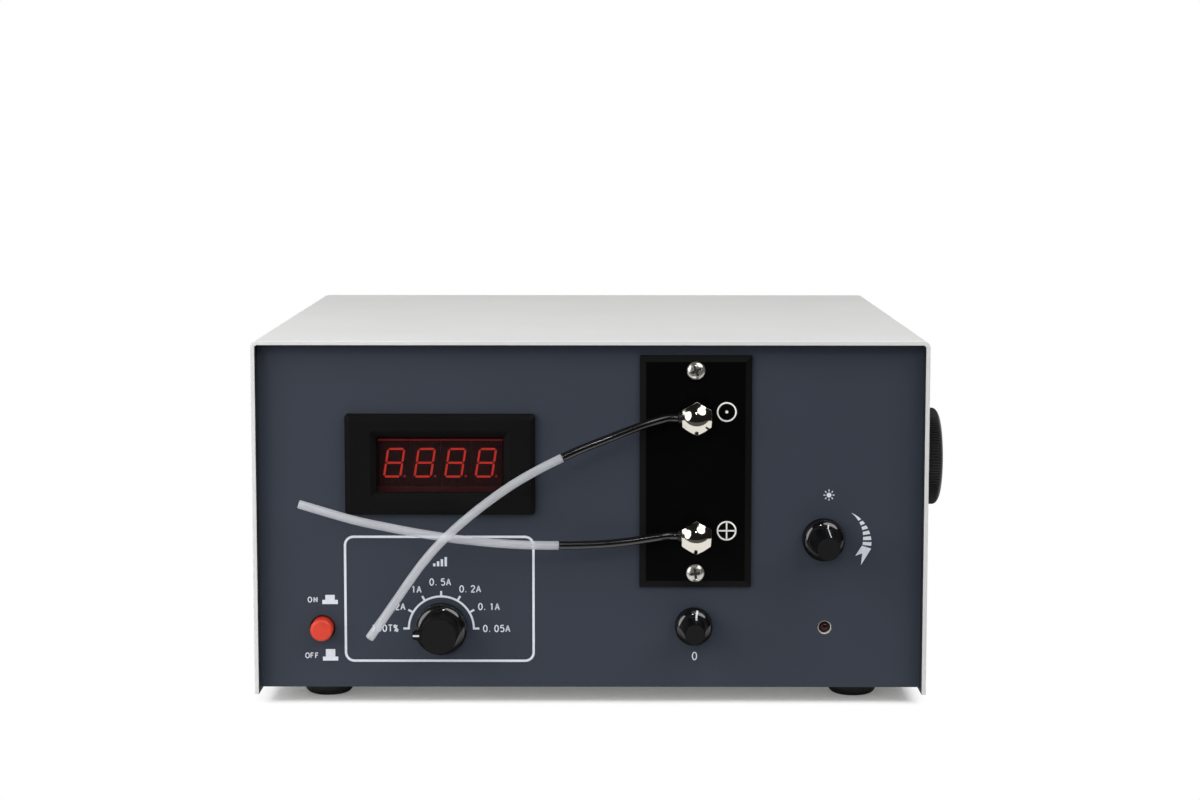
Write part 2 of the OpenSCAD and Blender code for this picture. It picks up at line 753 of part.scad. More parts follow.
module range_knob() {
    pointer_w = 3;
    pointer_t = 5;
    inside = -shaft_d / 2 - 1;
    shoulder = 1 - range_face_d / 2;
    color("black") at_panel(range_x, row_z) translate([0, 0, knob_gap]) {
        turned_knob(range_knob_d, range_base_t, range_face_d, range_knob_h, range_nut_af);
        translate([0, 0, range_knob_h - pointer_t]) linear_extrude(pointer_t - 1) polygon([
            [-pointer_reach, -pointer_w / 2], [shoulder, -pointer_w], [inside, -pointer_w],
            [inside, pointer_w], [shoulder, pointer_w], [-pointer_reach, pointer_w / 2]]);
    }
}

module range_shaft() {
    color("silver") at_panel(range_x, row_z) control_shaft(range_body_l, range_knob_h);
}

module range_switch() {
    color("dimgray") at_panel(range_x, row_z) bushed_body(range_body_d, range_body_l, range_bush_d);
}

module light_knob() {
    color("black") at_panel(light_x, light_z) translate([0, 0, knob_gap])
        turned_knob(light_knob_d, pot_base_t, light_face_d, light_knob_h, pot_nut_af);
}

module light_shaft() {
    color("silver") at_panel(light_x, light_z) control_shaft(pot_body_l, light_knob_h);
}

module light_pot() {
    color("silver") at_panel(light_x, light_z) bushed_body(pot_body_d, pot_body_l, pot_bush_d);
}

module zero_knob() {
    color("black") at_panel(zero_x, zero_z) translate([0, 0, knob_gap])
        turned_knob(zero_knob_d, pot_base_t, zero_face_d, zero_knob_h, pot_nut_af);
}

module zero_shaft() {
    color("silver") at_panel(zero_x, zero_z) control_shaft(pot_body_l, zero_knob_h);
}

module zero_pot() {
    color("silver") at_panel(zero_x, zero_z) bushed_body(pot_body_d, pot_body_l, pot_bush_d);
}

module bush_nut(af, bush_d) {
    difference() {
        hexagon(af, bush_nut_t);
        translate([0, 0, -1]) cylinder(h = bush_nut_t + 2, r = bush_d / 2 + run_gap);
    }
}

module control_nuts() {
    color("silver") {
        at_panel(range_x, row_z) bush_nut(range_nut_af, range_bush_d);
        at_panel(light_x, light_z) bush_nut(pot_nut_af, pot_bush_d);
        at_panel(zero_x, zero_z) bush_nut(pot_nut_af, pot_bush_d);
    }
}

// Power button and indicator

module power_cap() {
    edge = 1.4;
    color("red") at_panel(power_x, row_z) translate([0, 0, -cap_hidden]) rotate_extrude() union() {
        square([cap_d / 2, cap_hidden + cap_out - edge]);
        square([cap_d / 2 - edge, cap_hidden + cap_out]);
        translate([cap_d / 2 - edge, cap_hidden + cap_out - edge]) circle(edge);
    }
}

module power_plunger() {
    color("white") translate([power_x, spring_back, row_z]) rotate([-90, 0, 0])
        cylinder(h = spring_l + rail_t + switch_l / 2, d = plunger_d);
}

module power_spring() {
    turn_steps = 8;
    steps = turn_steps * spring_turns;
    run = spring_l - wire_d - 2 * fit;
    coil = [for (j = [0:steps]) [
        power_x + spring_d / 2 * cos(360 * j / turn_steps),
        spring_back + wire_d / 2 + fit + run * j / steps,
        row_z + spring_d / 2 * sin(360 * j / turn_steps)]];
    echo(spring_gap = min([for (i = [0:steps], j = [0:steps])
        if (j - i >= turn_steps / 2) norm(coil[j] - coil[i])]) - wire_d);
    color("silver") wire(coil, wire_d);
}

module power_switch() {
    color("black") translate([power_x, bracket_y + rail_t, row_z]) rotate([-90, 0, 0]) difference() {
        translate([-switch_w / 2, -switch_w / 2, 0]) cube([switch_w, switch_w, switch_l]);
        translate([0, 0, -1]) cylinder(h = switch_l / 2 + cap_travel + 2, r = plunger_d / 2 + 2 * fit);
    }
}

module switch_bracket() {
    // Stands behind the button on a foot that the front left foot's screw goes through, clear of the rail
    left = min(power_x - switch_w, -foot_span / 2 - head_d);
    right = max(power_x + switch_w, head_d - foot_span / 2);
    foot_l = foot_inset - case_d / 2 + head_d - bracket_y;
    w = right - left;
    color("silver") difference() {
        translate([left, bracket_y, floor_z]) {
            cube([w, rail_t, row_z + switch_w - floor_z]);
            cube([w, foot_l, rail_t]);
        }
        translate([power_x, bracket_y - 1, row_z]) rotate([-90, 0, 0])
            cylinder(h = rail_t + 2, r = plunger_d / 2 + 2 * fit);
        each_foot() cylinder(h = floor_z + rail_t + 1, r = screw_d / 2 + fit);
        translate([-frame_x, -frame_d / 2, floor_z]) cube([rail_w + fit, frame_d, rail_w + fit]);
    }
}

module led_lamp() {
    flange = 0.5;
    round_z = -led_back - lens_d / 2;
    color("darkred") at_panel(led_x, led_z) union() {
        translate([0, 0, -panel_t - led_l]) cylinder(h = panel_t + led_l + round_z, d = lens_d);
        translate([0, 0, round_z]) intersection() {
            sphere(lens_d / 2);
            translate([0, 0, -eps]) cylinder(h = lens_d, d = lens_d);
        }
        translate([0, 0, -panel_t - led_l]) cylinder(h = led_rim_t, d = lens_d + 2 * flange);
    }
}

module led_holder() {
    wall = 2.5;
    length = led_l - led_rim_t - fit;
    color("black") at_panel(led_x, led_z) translate([0, 0, -panel_t - length]) difference() {
        cylinder(h = length, d = led_hole_d + 2 * wall);
        translate([0, 0, -1]) cylinder(h = length + 2, r = lens_d / 2 + run_gap);
    }
}

// Flow cell

module cell_plate() {
    bevel = 1;
    color("black") at_panel(cell_x, plate_z) difference() {
        linear_extrude(plate_t) square([plate_w, plate_h], center = true);
        for (s = [-1, 1]) translate([0, s * plate_screw_span / 2, -1])
            cylinder(h = plate_t + 2, r = screw_d / 2 + fit);
        for (z = ports) translate([0, z - plate_z, -1]) cylinder(h = plate_t + 2, r = stud_d / 2 + fit);
        for (s = [-1, 1]) {
            translate([s * plate_w / 2, 0, plate_t]) rotate([0, 45, 0])
                cube([bevel, plate_h + 2, bevel], center = true);
            translate([0, s * plate_h / 2, plate_t]) rotate([45, 0, 0])
                cube([plate_w + 2, bevel, bevel], center = true);
        }
    }
}

module plate_screws() {
    color("silver") for (s = [-1, 1]) at_panel(cell_x, plate_z + s * plate_screw_span / 2)
        translate([0, 0, plate_t]) pan_screw(plate_t + panel_t + screw_past);
}

module cell_block() {
    nose_l = panel_t + nose_depth;
    block_top = optic_z + nose_h / 2;
    block_back_y = beam_y + block_back;
    color("black") difference() {
        union() {
            translate([cell_x - block_w / 2, panel_y, optic_z - nose_h / 2])
                cube([block_w, nose_l + eps, nose_h]);
            translate([cell_x - block_w / 2, panel_y + nose_l, bench_top])
                cube([block_w, block_back_y - panel_y - nose_l, block_top - bench_top]);
        }
        along_x(cell_x, beam_y, optic_z) cylinder(h = block_w + 2, d = beam_d, center = true);
        translate([cell_x, beam_y, optic_z - cuvette_half]) cylinder(h = nose_h, r = cuvette_d / 2 + fit);
        for (z = ports) at_panel(cell_x, z) {
            translate([0, 0, panel_y - beam_y]) cylinder(h = beam_y - panel_y + 1, d = stud_bore);
            translate([0, 0, -stud_in]) cylinder(h = stud_in + 1, r = stud_d / 2 + run_gap);
        }
    }
}

module cell_cuvette() {
    color("lightblue") translate([cell_x, beam_y, optic_z - cuvette_half]) difference() {
        cylinder(h = 2 * cuvette_half, d = cuvette_d);
        translate([0, 0, cuvette_end]) cylinder(h = 2 * (cuvette_half - cuvette_end), d = cuvette_bore);
        for (z = ports) translate([0, 0, z - optic_z + cuvette_half]) rotate([90, 0, 0])
            cylinder(h = cuvette_d, d = stud_bore);
    }
}

module cell_studs() {
    length = stud_in + plate_t + collar_t + cap_nut_hex - 2 * end_gap;
    color("silver") for (z = ports) at_panel(cell_x, z) difference() {
        translate([0, 0, -stud_in]) cylinder(h = length, d = stud_d);
        translate([0, 0, -stud_in - 1]) cylinder(h = stud_in + 1 + collar_z, d = stud_bore);
        translate([0, 0, collar_z]) rotate([0, -90, 0]) cylinder(h = stud_d, d = stud_bore);
    }
}

module tube_collars() {
    boss_d = sleeve_d + 1.6;
    color("black") for (z = ports) at_panel(cell_x, z) translate([0, 0, plate_t]) difference() {
        union() {
            cylinder(h = collar_t, d = collar_d);
            translate([0, 0, collar_t / 2]) rotate([0, -90, 0])
                cylinder(h = collar_d / 2 + boss_l, d = boss_d);
        }
        translate([0, 0, -1]) cylinder(h = collar_t + 2, r = stud_d / 2 + run_gap);
        translate([0, 0, collar_t / 2]) rotate([0, -90, 0]) cylinder(h = collar_d, d = sleeve_bore);
    }
}

module cap_nuts() {
    corner_r = cap_nut_af / 2 / cos(30);
    chamfer = 0.8;
    color("silver") for (z = ports) at_panel(cell_x, z) translate([0, 0, plate_t + collar_t]) difference() {
        union() {
            intersection() {
                hexagon(cap_nut_af, cap_nut_hex);
                rotate_extrude() polygon([[0, 0], [corner_r - chamfer / 2, 0], [corner_r, chamfer / 2],
                    [corner_r, cap_nut_hex - chamfer], [cap_dome_r, cap_nut_hex], [0, cap_nut_hex]]);
            }
            intersection() {
                translate([0, 0, cap_nut_hex]) sphere(cap_dome_r, $fn = 96);
                cylinder(h = cap_nut_hex + cap_dome_r, r = cap_dome_r);
            }
        }
        translate([0, 0, -1]) cylinder(h = cap_nut_hex + 1, r = stud_d / 2 + run_gap);
    }
}

module outlet_sleeve() { color("black") hose(outlet_sleeve_route, sleeve_d, sleeve_bore); }
module outlet_tube() { color("white") hose(outlet_tube_route, tube_d, tube_bore); }
module inlet_sleeve() { color("black") hose(inlet_sleeve_route, sleeve_d, sleeve_bore); }
module inlet_tube() { color("white") hose(inlet_tube_route, tube_d, tube_bore); }

// Optics

module optical_bench() {
    leg_t = 2;
    depth = bench_back - bench_front;
    width = bench_right - bench_left;
    leg_w = min(width, foot_span / 2 - head_d - bench_left);
    color("silver") translate([bench_left, bench_front, 0]) {
        translate([0, 0, bench_z]) cube([width, depth, bench_t]);
        for (y = [0, depth - leg_t]) translate([0, y, floor_z]) cube([leg_w, leg_t, bench_z - floor_z + eps]);
    }
}

module lamp_housing() {
    inside_w = lamp_box_w - 2 * lamp_wall;
    inside_d = lamp_box_d - 2 * lamp_wall;
    color("dimgray") translate([lamp_x, beam_y, bench_top]) difference() {
        translate([-lamp_box_w / 2, -lamp_box_d / 2, 0]) cube([lamp_box_w, lamp_box_d, lamp_box_h]);
        translate([-inside_w / 2, -inside_d / 2, -1])
            cube([inside_w, inside_d, lamp_box_h - lamp_wall + 1]);
        translate([-lamp_box_w / 2 - 1, 0, beam_rise]) rotate([0, 90, 0])
            cylinder(h = lamp_wall + 2, d = beam_d + 2);
    }
}

module lamp_socket() {
    color("ivory") translate([lamp_x, beam_y, bench_top]) difference() {
        cylinder(h = socket_h, d = socket_d);
        translate([0, 0, socket_h - lamp_seat]) cylinder(h = lamp_seat + 1, r = lamp_d / 2 + fit);
    }
}

module uv_lamp() {
    straight = lamp_l + lamp_seat - lamp_d / 2;
    color("lavender") translate([lamp_x, beam_y, bench_top + socket_h - lamp_seat]) {
        cylinder(h = straight, d = lamp_d);
        translate([0, 0, straight]) sphere(d = lamp_d);
    }
}

module each_filter() {
    for (i = [0:filter_n - 1])
        rotate([360 * i / filter_n, 0, 0]) translate([0, -filter_ring_r, 0]) rotate([0, 90, 0]) children();
}

module filter_wheel() {
    hub_d = 14;
    hub_l = 6;
    color("black") translate([wheel_x, wheel_y, optic_z]) difference() {
        union() {
            rotate([0, 90, 0]) cylinder(h = wheel_t, r = wheel_r);
            rotate([0, 90, 0]) translate([0, 0, -wheel_gap / 2]) cylinder(h = hub_l, d = hub_d);
        }
        rotate([0, 90, 0]) translate([0, 0, -wheel_gap])
            cylinder(h = hub_l + 2 * wheel_gap, r = shaft_d / 2 + fit / 2);
        each_filter() translate([0, 0, -1]) cylinder(h = wheel_t + 2, r = filter_d / 2 + fit / 2);
    }
}

module filter_glasses() {
    sunk = 0.5;
    color("mediumpurple") translate([wheel_x, wheel_y, optic_z])
        each_filter() translate([0, 0, sunk]) cylinder(h = wheel_t - 2 * sunk, d = filter_d);
}

module wheel_shaft() {
    // Runs from the wheel's hub into the knob, with a collar on each side of the outer bearing
    collar_l = 3;
    collar_rim = 2.5;
    play = 3 * fit;
    from = wheel_x - wheel_gap / 2;
    to = side_knob_x + side_knob_t - side_crown - end_gap;
    color("silver") union() {
        along_x(from, wheel_y, optic_z) cylinder(h = to - from, d = shaft_d);
        for (x = [bearing_x1 - collar_l - play, bearing_x1 + bearing_t + play])
            along_x(x, wheel_y, optic_z) cylinder(h = collar_l, d = shaft_d + 2 * collar_rim);
    }
}

module wheel_bearing() {
    low = bench_top;
    high = optic_z + bearing_w / 2;
    foot = 4;
    color("silver") difference() {
        union() {
            translate([lamp_x0, wheel_y - bearing_w / 2, low]) cube([lamp_box_w, bearing_w, foot]);
            for (x = [lamp_x0, bearing_x1]) translate([x, wheel_y - bearing_w / 2, low])
                cube([bearing_t, bearing_w, high - low]);
        }
        along_x(lamp_x0 - 1, wheel_y, optic_z) cylinder(h = lamp_box_w + 2, r = shaft_d / 2 + run_gap);
    }
}

module wavelength_knob() {
    edge = 3;
    edge_r = 5;
    land = 0.1;
    root_r = side_knob_d / 2 - knurl_depth;
    core_r = root_r - land;
    color("black") along_x(side_knob_x, wheel_y, optic_z) difference() {
        union() {
            linear_extrude(side_knob_t - edge) polygon([for (i = [0:2 * knurl_n - 1])
                let (a = 180 * i / knurl_n, r = i % 2 == 0 ? side_knob_d / 2 : root_r) r * [cos(a), sin(a)]]);
            rotate_extrude() {
                square([core_r - edge_r, side_knob_t]);
                translate([core_r - edge_r, side_knob_t - edge]) scale([edge_r / edge, 1]) circle(edge);
            }
        }
        translate([0, 0, -1]) cylinder(h = side_knob_t - side_crown + 1, r = shaft_d / 2 + fit);
    }
}

module detector_housing() {
    color("dimgray") along_x(cell_x - block_w / 2 - detector_l, beam_y, optic_z) difference() {
        cylinder(h = detector_l, d = detector_d);
        translate([0, 0, diode_seat]) cylinder(h = detector_l, r = diode_d / 2 + fit);
    }
}

module photodiode() {
    can_l = 6;
    color("gold") along_x(cell_x - block_w / 2 - detector_l + diode_seat, beam_y, optic_z)
        cylinder(h = can_l, d = diode_d);
}

// Electronics and rear

module each_standoff() {
    for (x = [hole_inset, board_w - hole_inset], y = [hole_inset, board_d - hole_inset])
        translate([board_x + x, board_y + y, floor_z]) children();
}

module main_board() {
    color("darkgreen") difference() {
        translate([board_x, board_y, board_z]) cube([board_w, board_d, board_t]);
        each_standoff() cylinder(h = standoff_h + board_t + 1, r = board_screw_d / 2 + fit);
    }
}

module board_standoffs() {
    color("gold") each_standoff() {
        cylinder(h = standoff_h, d = 2 * board_screw_d);
        cylinder(h = standoff_h + board_t + board_screw_d, d = board_screw_d);
    }
}

module board_parts() {
    // Two smoothing capacitors, a regulator on its heat sink, a connector and a row of circuits
    margin = 2 * hole_inset;
    color("darkslateblue") translate([board_x + margin, board_y + margin, board_z + board_t]) {
        cube([connector_w, connector_t, connector_h]);
        for (i = [0:2]) translate([part_pitch * i, part_pitch, 0]) cube([circuit_w, circuit_t, circuit_h]);
        for (i = [0:1]) translate([(i + 0.5) * 1.2 * capacitor_d, 2.5 * part_pitch, 0])
            cylinder(h = capacitor_h, d = capacitor_d);
        translate([2.5 * capacitor_d, 2 * part_pitch, 0]) cube([sink_w, sink_t, sink_h]);
    }
}

module transformer_core() {
    color("gray") translate([inlet_x - core_w / 2, core_y - core_t / 2, floor_z]) difference() {
        cube([core_w, core_t, core_h]);
        for (x = [limb, core_w - 2 * limb]) translate([x, -1, limb])
            cube([limb, core_t + 2, core_h - 2 * limb]);
    }
}

module transformer_coil() {
    over = 9;
    h = core_h - 2 * limb - 2 * coil_gap;
    color("goldenrod") translate([inlet_x, core_y, floor_z + limb + coil_gap])
        linear_extrude(h) difference() {
            square([4 * limb - 2 * coil_gap, core_t + 2 * over], center = true);
            square([2 * limb + 2 * coil_gap, core_t + 2 * coil_gap], center = true);
        }
}

module mains_inlet() {
    flange_w = 34;
    flange_h = 25;
    flange_t = 3;
    flange_r = 2;
    wall = 1.6;
    floor_t = 2;
    color("black") at_rear(inlet_x, inlet_z) difference() {
        union() {
            linear_extrude(flange_t) round_plate(flange_w, flange_h, flange_r);
            translate([0, 0, -inlet_depth - floor_t]) linear_extrude(inlet_depth + floor_t + eps)
                square([inlet_body_w, inlet_body_h], center = true);
        }
        translate([0, 0, -inlet_depth + flange_t]) linear_extrude(inlet_depth + 1) inlet_mouth(wall);
        for (p = pin_places) translate([p[0], p[1], -inlet_depth])
            linear_extrude(inlet_depth, center = true)
                square([pin_w + 2 * fit, pin_h + 2 * fit], center = true);
    }
}

// Mouth of the inlet: a rectangle with its two upper corners cut
module inlet_mouth(wall) {
    w = inlet_body_w / 2 - wall;
    h = inlet_body_h / 2 - wall;
    cut = 4;
    polygon([[-w, -h], [w, -h], [w, h - cut], [w - cut, h], [cut - w, h], [-w, h - cut]]);
}

module inlet_pins() {
    tail = 8;
    color("silver") at_rear(inlet_x, inlet_z) for (p = pin_places)
        translate([p[0] - pin_w / 2, p[1] - pin_h / 2, -inlet_depth - tail])
            cube([pin_w, pin_h, inlet_depth + tail]);
}

module fuse_holder() {
    cap_l = 9;
    rim_t = 2;
    rim_w = 2;
    color("black") at_rear(fuse_x, inlet_z) {
        translate([0, 0, -fuse_l]) cylinder(h = fuse_l + eps, d = fuse_d);
        cylinder(h = rim_t, d = fuse_d + 2 * rim_w);
        cylinder(h = cap_l, d = fuse_d - rim_w / 2);
    }
}

module output_sockets() {
    color("black") for (s = [-1, 1]) at_rear(output_x + s * output_span / 2, inlet_z) difference() {
        union() {
            translate([0, 0, -output_depth]) cylinder(h = output_depth + eps, d = output_d);
            cylinder(h = output_rim_t, d = output_d + 2 * output_rim_w);
        }
        translate([0, 0, output_rim_t - output_depth]) cylinder(h = output_depth + 1, d = output_bore);
    }
}

top_cover();
base_plate();
front_panel();
rear_panel();
frame_rails();
rubber_feet();
foot_screws();
cover_screws();
meter_housing();
meter_window();
meter_display();
meter_board();
range_knob();
range_shaft();
range_switch();
light_knob();
light_shaft();
light_pot();
zero_knob();
zero_shaft();
zero_pot();
control_nuts();
power_cap();
power_plunger();
power_spring();
power_switch();
switch_bracket();
led_lamp();
led_holder();
cell_plate();
plate_screws();
cell_block();
cell_cuvette();
cell_studs();
tube_collars();
cap_nuts();
outlet_sleeve();
outlet_tube();
inlet_sleeve();
inlet_tube();
optical_bench();
lamp_housing();
uv_lamp();
lamp_socket();
filter_wheel();
filter_glasses();
wheel_shaft();
wheel_bearing();
wavelength_knob();
detector_housing();
photodiode();
main_board();
board_parts();
board_standoffs();
transformer_core();
transformer_coil();
mains_inlet();
inlet_pins();
fuse_holder();
output_sockets();
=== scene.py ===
import math

import bmesh
import bpy
import numpy as np
from mathutils import Matrix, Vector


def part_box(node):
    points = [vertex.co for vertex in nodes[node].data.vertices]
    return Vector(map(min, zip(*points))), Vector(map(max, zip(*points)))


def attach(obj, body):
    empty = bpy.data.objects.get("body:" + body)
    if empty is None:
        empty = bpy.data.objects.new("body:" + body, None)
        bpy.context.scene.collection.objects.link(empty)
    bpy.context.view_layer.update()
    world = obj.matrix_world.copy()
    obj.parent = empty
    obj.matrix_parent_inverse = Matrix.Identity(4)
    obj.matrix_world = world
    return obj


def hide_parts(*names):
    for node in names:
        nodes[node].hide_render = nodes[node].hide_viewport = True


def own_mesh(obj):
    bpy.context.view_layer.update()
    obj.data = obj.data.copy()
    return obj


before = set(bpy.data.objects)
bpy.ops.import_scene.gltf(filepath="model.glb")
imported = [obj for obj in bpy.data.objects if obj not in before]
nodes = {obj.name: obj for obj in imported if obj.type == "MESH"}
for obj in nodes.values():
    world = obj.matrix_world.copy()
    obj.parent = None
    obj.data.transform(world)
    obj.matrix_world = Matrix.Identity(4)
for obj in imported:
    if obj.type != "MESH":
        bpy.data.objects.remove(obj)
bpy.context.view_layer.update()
mm = 0.001
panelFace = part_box("front_panel")[0].y
print("frame loaded:", len(nodes), "nodes")


def middle(node):
    low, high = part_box(node)
    return (low + high) / 2


def cornersOf(node):
    # Low and high corner of a solid's box, in millimetres
    return [np.array(corner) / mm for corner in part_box(node)]


# Directions and faces

def around(steps):
    # Evenly spaced angles of one full turn
    return np.arange(steps) * 2 * math.pi / steps


def spokes(angle):
    # Directions at these angles, as (cosine, sine)
    return np.stack([np.cos(angle), np.sin(angle)], -1)


def unit(rows):
    return rows / np.linalg.norm(rows, axis=-1, keepdims=True)


def gridFaces(rows, columns, closeRows=False, closeColumns=False):
    # Quads between neighbouring rows and columns, wrapped round in a direction that closes
    row = np.arange(rows if closeRows else rows - 1)[:, None]
    column = np.arange(columns if closeColumns else columns - 1)
    nextRow = (row + 1) % rows
    nextColumn = (column + 1) % columns
    corners = (row * columns + column, row * columns + nextColumn,
               nextRow * columns + nextColumn, nextRow * columns + column)
    return np.stack(corners, -1).reshape(-1, 4)


def endRows(rows, columns):
    # The first and the last row as faces
    return np.arange(columns) + np.array([[0], [(rows - 1) * columns]])


def endColumns(rows, columns):
    # The first and the last column as faces
    return np.arange(rows) * columns + np.array([[0], [columns - 1]])


# Objects and meshes

def addObject(name, data):
    thing = bpy.data.objects.new(name, data)
    bpy.context.scene.collection.objects.link(thing)
    return thing


def setPlace(thing, place, right, up, back):
    # The three directions are the columns of the thing's matrix
    turn = Matrix(np.column_stack([right, up, back]).tolist()).to_4x4()
    thing.matrix_world = Matrix.Translation(place) @ turn


def makePiece(name, patches, body, slot, material=None, sharpAngle=35, flats=False):
    # Joins patches of (points, face groups), closes seams and poles, turns faces outwards and smooths up to
    # an angle; a piece without a material of its own takes its slot's finish
    points, faces, first = [], [], 0
    for patchPoints, groups in patches:
        points.append(np.reshape(patchPoints, (-1, 3)))
        for group in groups:
            faces.extend((np.asarray(group) + first).tolist())
        first += len(points[-1])
    mesh = bpy.data.meshes.new(name)
    mesh.from_pydata(np.concatenate(points).tolist(), [], faces)
    shell = bmesh.new()
    shell.from_mesh(mesh)
    bmesh.ops.remove_doubles(shell, verts=shell.verts, dist=0.001 * mm)
    bmesh.ops.recalc_face_normals(shell, faces=shell.faces)
    shell.to_mesh(mesh)
    shell.free()
    mesh.polygons.foreach_set("use_smooth", np.ones(len(mesh.polygons), bool))
    mesh.set_sharp_from_angle(angle=math.radians(sharpAngle))
    mesh.materials.append(material or finishes[slot])
    piece = addObject(name, mesh)
    if flats:
        piece.modifiers.new("flats", "WEIGHTED_NORMAL").keep_sharp = True
    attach(piece, body)
    return piece


def softLine(corners, steps=6):
    # Lines between corners (a, b, cut): a curve joins the points that lie the cut before and after a corner
    corners = np.asarray(corners, float)
    point, cut = corners[:, None, :2], corners[:, None, 2:]
    run = unit(np.diff(corners[:, :2], axis=0))
    before = point - cut * np.vstack([run[:1], run])[:, None]
    after = point + cut * np.vstack([run, run[-1:]])[:, None]
    share = np.linspace(0, 1, steps)[:, None]
    line = (1 - share) ** 2 * before + 2 * share * (1 - share) * point + share ** 2 * after
    line = line.reshape(-1, 2)
    moved = np.linalg.norm(np.diff(line, axis=0), axis=1) > 1e-6
    return line[np.r_[True, moved]]


def onPanel(flat, out):
    # Flat points (x, z) and heights out of the panel's face, all in millimetres, as places in metres
    flat = np.asarray(flat, float)
    out = np.broadcast_to(out, flat.shape[:-1])
    return np.stack([flat[..., 0] * mm, panelFace - out * mm, flat[..., 1] * mm], -1)


def onAxis(axis, radius, angle):
    # Flat points at these radii and angles round an axis that points out of the panel
    return np.array([axis.x, axis.z]) / mm + radius[..., None] * spokes(angle)


def turned(profile, axis, steps, closed=False):
    # Profile of radius and height out of the panel, carried round an axis
    points = onPanel(onAxis(axis, profile[:, :1], around(steps)), profile[:, 1:])
    return points, [gridFaces(len(profile), steps, closeRows=closed, closeColumns=True)]


def framed(sizes, centre, closed=False, steps=5):
    # Rounded rectangles joined one after the other; a row names one of the sizes and says how far it is
    # drawn in on every side, its corners' radius and its height out of the panel
    name, inset, radius, out = zip(*sizes["rows"])
    inset, radius, out = (np.array(column, float)[:, None, None] for column in (inset, radius, out))
    width, height = np.array([sizes[key] for key in name]).T[:, :, None, None]
    turn = np.linspace(0, math.pi / 2, steps) + np.arange(4)[:, None] * math.pi / 2
    sideX = np.array([1, -1, -1, 1])[:, None]
    sideZ = np.array([1, 1, -1, -1])[:, None]
    x = centre.x / mm + sideX * (width / 2 - inset - radius) + radius * np.cos(turn)
    z = centre.z / mm + sideZ * (height / 2 - inset - radius) + radius * np.sin(turn)
    rows, columns = len(name), 4 * steps
    groups = [gridFaces(rows, columns, closeRows=closed, closeColumns=True)]
    if not closed:
        groups.append(endRows(rows, columns))
    return onPanel(np.stack([x, z], -1), out), groups


def ribbon(path, width, low, high, closed=False):
    # Stroke of ink: the path moved half its width to each side, at the ink's back and at its front
    path = np.asarray(path, float)
    if closed:
        heading = unit(np.roll(path, -1, axis=0) - np.roll(path, 1, axis=0))
    else:
        heading = unit(np.gradient(path, axis=0))
    side = np.stack([-heading[:, 1], heading[:, 0]], -1) * width / 2
    rows = [onPanel(path + side, high), onPanel(path - side, high),
            onPanel(path - side, low), onPanel(path + side, low)]
    groups = [gridFaces(4, len(path), closeRows=True, closeColumns=closed)]
    if not closed:
        groups.append(endColumns(4, len(path)))
    return np.concatenate(rows), groups


def plate(outline, low, high):
    # Flat figure with a front, a back and a wall round its outline
    points = np.concatenate([onPanel(outline, high), onPanel(outline, low)])
    return points, [gridFaces(2, len(outline), closeColumns=True), endRows(2, len(outline))]


def circle(centre, radius, steps, start=0.0, end=360.0):
    # Points of a circle, or of an arc between two angles, in degrees
    whole = abs(end - start) >= 360
    angle = np.radians(np.linspace(start, end, steps, endpoint=not whole))
    return np.array(centre) + radius * spokes(angle)


def ringsRound(first, second, sides):
    # Directions round a line at each of its points, from two directions across it
    angle = around(sides)[:, None]
    return first[:, None] * np.cos(angle) + second[:, None] * np.sin(angle)


# Shader helpers

specular = "Specular IOR Level"


def connect(socket, value):
    if isinstance(value, Wire):
        socket.id_data.links.new(value.socket, socket)
    else:
        socket.default_value = value


class Wire:
    def __init__(self, socket):
        self.socket = socket

    def make(self, kind, settings, inputs, output=0):
        node = self.socket.id_data.nodes.new("ShaderNode" + kind)
        for key, value in settings.items():
            setattr(node, key, value)
        for key, value in inputs.items():
            connect(node.inputs[key], value)
        return Wire(node.outputs[output])

    def math(self, operation, first, second=0.0):
        return self.make("Math", {"operation": operation}, {0: first, 1: second})

    def __add__(self, other):
        return self.math("ADD", self, other)

    def __sub__(self, other):
        return self.math("SUBTRACT", self, other)

    def __rsub__(self, other):
        return self.math("SUBTRACT", other, self)

    def __mul__(self, other):
        return self.math("MULTIPLY", self, other)

    def __gt__(self, other):
        return self.math("GREATER_THAN", self, other)

    def __lt__(self, other):
        return self.math("LESS_THAN", self, other)

    __radd__ = __add__
    __rmul__ = __mul__

    def size(self):
        return self.math("ABSOLUTE", self)

    def limit(self):
        return self.make("Clamp", {}, {0: self})

    def split(self):
        return [self.make("SeparateXYZ", {}, {0: self}, index) for index in range(3)]

    def stretch(self, scale):
        return self.make("Mapping", {}, {"Vector": self, "Scale": scale})

    def noise(self, scale, detail=2.0):
        return self.make("TexNoise", {}, {"Vector": self, "Scale": scale, "Detail": detail})

    def waves(self, scale, direction):
        settings = {"wave_type": "BANDS", "bands_direction": direction}
        return self.make("TexWave", settings, {"Vector": self, "Scale": scale})

    def between(self, first, second):
        return self.make("Mix", {"data_type": "RGBA"}, {0: self, 6: first, 7: second}, 2)

    def relief(self, distance, strength):
        return self.make("Bump", {}, {"Height": self, "Distance": distance, "Strength": strength})


def tone(red, green, blue):
    # Screen colour of 0 to 255 as the linear colour that a shader takes
    screen = np.array([red, green, blue]) / 255
    linear = np.where(screen <= 0.04045, screen / 12.92, ((screen + 0.055) / 1.055) ** 2.4)
    return (*linear.tolist(), 1.0)


def scaled(colour, factor):
    return (*[min(1.0, part * factor) for part in colour[:3]], 1.0)


def freshTree(holder, kind, coordinates="Object"):
    # Empties a material's or world's nodes; gives its surface socket and a wire of coordinates to start from
    holder.use_nodes = True
    tree = holder.node_tree
    tree.nodes.clear()
    surface = tree.nodes.new("ShaderNodeOutput" + kind).inputs["Surface"]
    return surface, Wire(tree.nodes.new("ShaderNodeTexCoord").outputs[coordinates])


